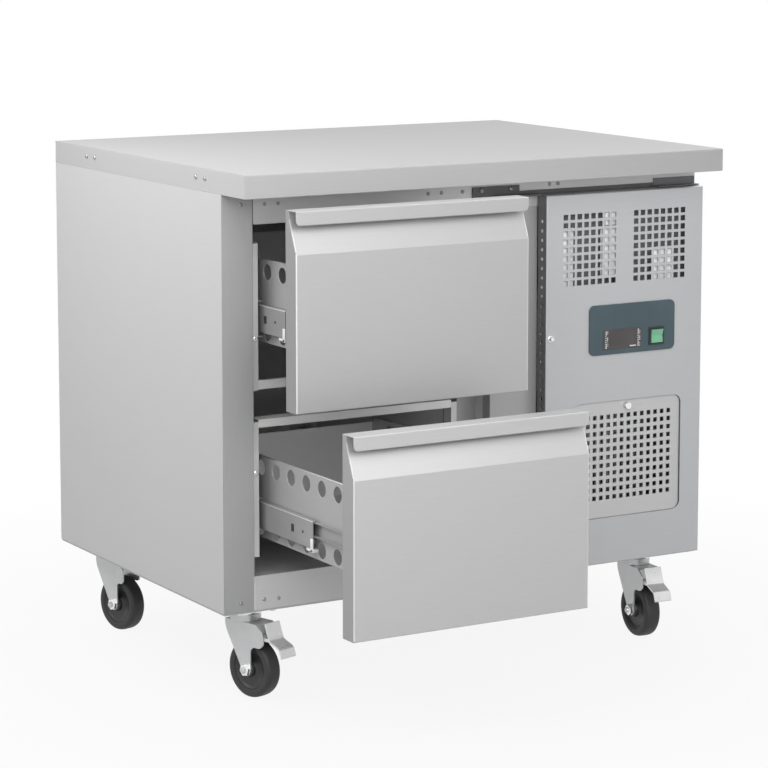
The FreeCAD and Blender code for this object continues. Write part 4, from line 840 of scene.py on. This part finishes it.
for drawer in DRAWERS:
    body = drawer + "_drawer"
    low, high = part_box(drawer + "_drawer_front")
    for side, face, inward in (("left", low[0], 1), ("right", high[0], -1)):
        x = face + inward * (FOLD - FOLD_PROUD)
        y = low[1] + FOLD - FOLD_PROUD
        start = (x, y, low[2] + FOLD_END)
        end = (x, y, low[2] + SLOPE_FOOT - FOLD_END)
        fold_highlight("%s_fold_%s" % (drawer, side), start, end, FOLD, body)
        x = face + inward * (SLOPE_FOLD - SLOPE_FOLD_PROUD)
        start = (x, low[1] + FOLD + SLOPE_FOLD_INSET, low[2] + SLOPE_FOOT + SLOPE_FOLD_START)
        end = (x, low[1] + SLOPE_TOP[0] + SLOPE_FOLD_INSET, low[2] + SLOPE_TOP[1])
        fold_highlight("%s_slope_fold_%s" % (drawer, side), start, end, SLOPE_FOLD, body)


# Baffles, guide and tape behind the vents

PANEL_SHEET = 0.0012
ROOT = 0.0001
PLATE = 0.001
PLATE_LAP = 0.0005
PLATE_EASE = 0.0002
BAFFLE_GAP = 0.0038
GUIDE_GAP = 0.0195
GUIDE_X = (0.012, 0.300)
GUIDE_Z = (0.464, 0.606)
GUIDE_LEGS = (0.012, 0.156, 0.299)
TAPE_X = (-0.0001, 0.0008)
TAPE_Y = (0.004, 0.020)
TAPE_Z = (0.46, 0.61)

# Spans across and up from the panel's lower left corner, and the side that carries the plate
BAFFLES = {
    "vent_baffle_left": [((0.0305, 0.0570), (0.470, 0.572), "left")],
    "vent_baffle_middle": [((0.1115, 0.1445), (0.488, 0.568), "right"),
                           ((0.1205, 0.1445), (0.572, 0.598), "right")],
    "vent_baffle_right": [((0.2185, 0.2545), (0.470, 0.530), "right")],
}
panel_left, panel_face, panel_foot = PANEL[0]
panel_back = panel_face + PANEL_SHEET


def plate_with_legs(x_span, z_span, gap, legs):
    """Boxes for a plate at a gap behind the panel's sheet, with legs that reach back to the sheet."""
    near = panel_back + gap
    rise = from_place(panel_foot, z_span)
    boxes = [corners_of(from_place(panel_left, x_span), (near, near + PLATE), rise)]
    for leg in legs:
        leg_span = (panel_left + leg, panel_left + leg + PLATE)
        boxes.append(corners_of(leg_span, (panel_back - ROOT, near + PLATE_LAP), rise))
    return boxes


def behind_panel(name, boxes, material):
    """A piece that is fixed behind the sheet of the service panel."""
    piece(name, merged(name, boxes, PLATE_EASE), material, "service_panel")


for name, plates in BAFFLES.items():
    boxes = []
    for x_span, z_span, side in plates:
        leg = x_span[0] if side == "left" else x_span[1] - PLATE
        boxes += plate_with_legs(x_span, z_span, BAFFLE_GAP, [leg])
    behind_panel(name, boxes, baffle_zinc)
behind_panel("vent_guide", plate_with_legs(GUIDE_X, GUIDE_Z, GUIDE_GAP, GUIDE_LEGS), guide_plastic)
flank = panel_left + PANEL_SHEET
tape = corners_of(from_place(flank, TAPE_X), from_place(panel_face, TAPE_Y), from_place(panel_foot, TAPE_Z))
behind_panel("flank_tape", [tape], white_plastic)


# Controls

MARK_DEPTH = (-0.0002, 0.0002)
MARK_EASE = 0.0001
MARK_ROWS = 9
MARK_FIRST = 0.10
MARK_RANGE = 0.80
MARK_RISE = (-0.0006, 0.0006)
LONG_MARK = 0.0062
SHORT_MARK = 0.0036
SHORT_EVERY = 3
MARK_COLUMNS = ((0.05, 0), (0.90, 1))
STROKES = 3
STROKE_INSET = 0.0020
STROKE_STEP = 0.0024
STROKE_WIDTH = 0.0011
STROKE_FIRST = 0.12
STROKE_PITCH = 0.28
STROKE_SHARE = 0.2
BAR_AT = (0.70, 0.12)
BAR_LENGTH = 0.012
BAR_DEPTH = (-0.0006, 0.0002)
BAR_RISE = (-0.001, 0.001)
SCREEN_DEPTH = (-0.0003, 0.0002)
SCREEN_EASE = 0.0002
SCREEN_ACROSS = (0.19, 0.8)
SCREEN_FOOT = 0.2
SCREEN_BELOW_TOP = 0.12
LOCK_AT = (0.591, 0.394)
LOCK_PROFILE = [
    (0.0, 0.0), (0.0056, 0.0), (0.0056, 0.0010), (0.0050, 0.0015), (0.0040, 0.0017), (0.0038, 0.0056),
    (0.0032, 0.0066), (0.0, 0.0070)]

window_left, glass, window_foot = WINDOW[0]
wide = WINDOW[1][0] - window_left
tall = WINDOW[1][2] - window_foot
mark_depth = from_place(glass, MARK_DEPTH)
marks = []
for column, lead in MARK_COLUMNS:
    column_x = window_left + wide * column
    for row in range(MARK_ROWS):
        z = window_foot + tall * (MARK_FIRST + MARK_RANGE * row / (MARK_ROWS - 1))
        length = LONG_MARK if (row + lead) % SHORT_EVERY else SHORT_MARK
        marks.append(corners_of((column_x, column_x + length), mark_depth, from_place(z, MARK_RISE)))
    for run in range(STROKES):
        x = column_x + STROKE_INSET + STROKE_STEP * (run % 2)
        z = window_foot + tall * (STROKE_FIRST + STROKE_PITCH * run)
        marks.append(corners_of((x, x + STROKE_WIDTH), mark_depth, (z, z + tall * STROKE_SHARE)))
bar_x = window_left + wide * BAR_AT[0]
bar_z = window_foot + tall * BAR_AT[1]
bar_span = (bar_x, bar_x + BAR_LENGTH)
marks.append(corners_of(bar_span, from_place(glass, BAR_DEPTH), from_place(bar_z, BAR_RISE)))
piece("display_marks", merged("marks", marks, MARK_EASE), mark_white, "service_panel")
screen_x = (window_left + wide * SCREEN_ACROSS[0], window_left + wide * SCREEN_ACROSS[1])
screen_z = (window_foot + tall * SCREEN_FOOT, WINDOW[1][2] - tall * SCREEN_BELOW_TOP)
screen_low, screen_high = corners_of(screen_x, from_place(glass, SCREEN_DEPTH), screen_z)
screen = rounded_box("screen", screen_low, screen_high, SCREEN_EASE)
piece("display_screen", screen, screen_film, "service_panel")
lock_place = facing((LEFT + LOCK_AT[0], panel_face, BASE + LOCK_AT[1]), TO_FRONT)
lock = lathe("lock", LOCK_PROFILE, LOCK_ROUND)
piece("panel_lock", lock, bright, "service_panel", lock_place)
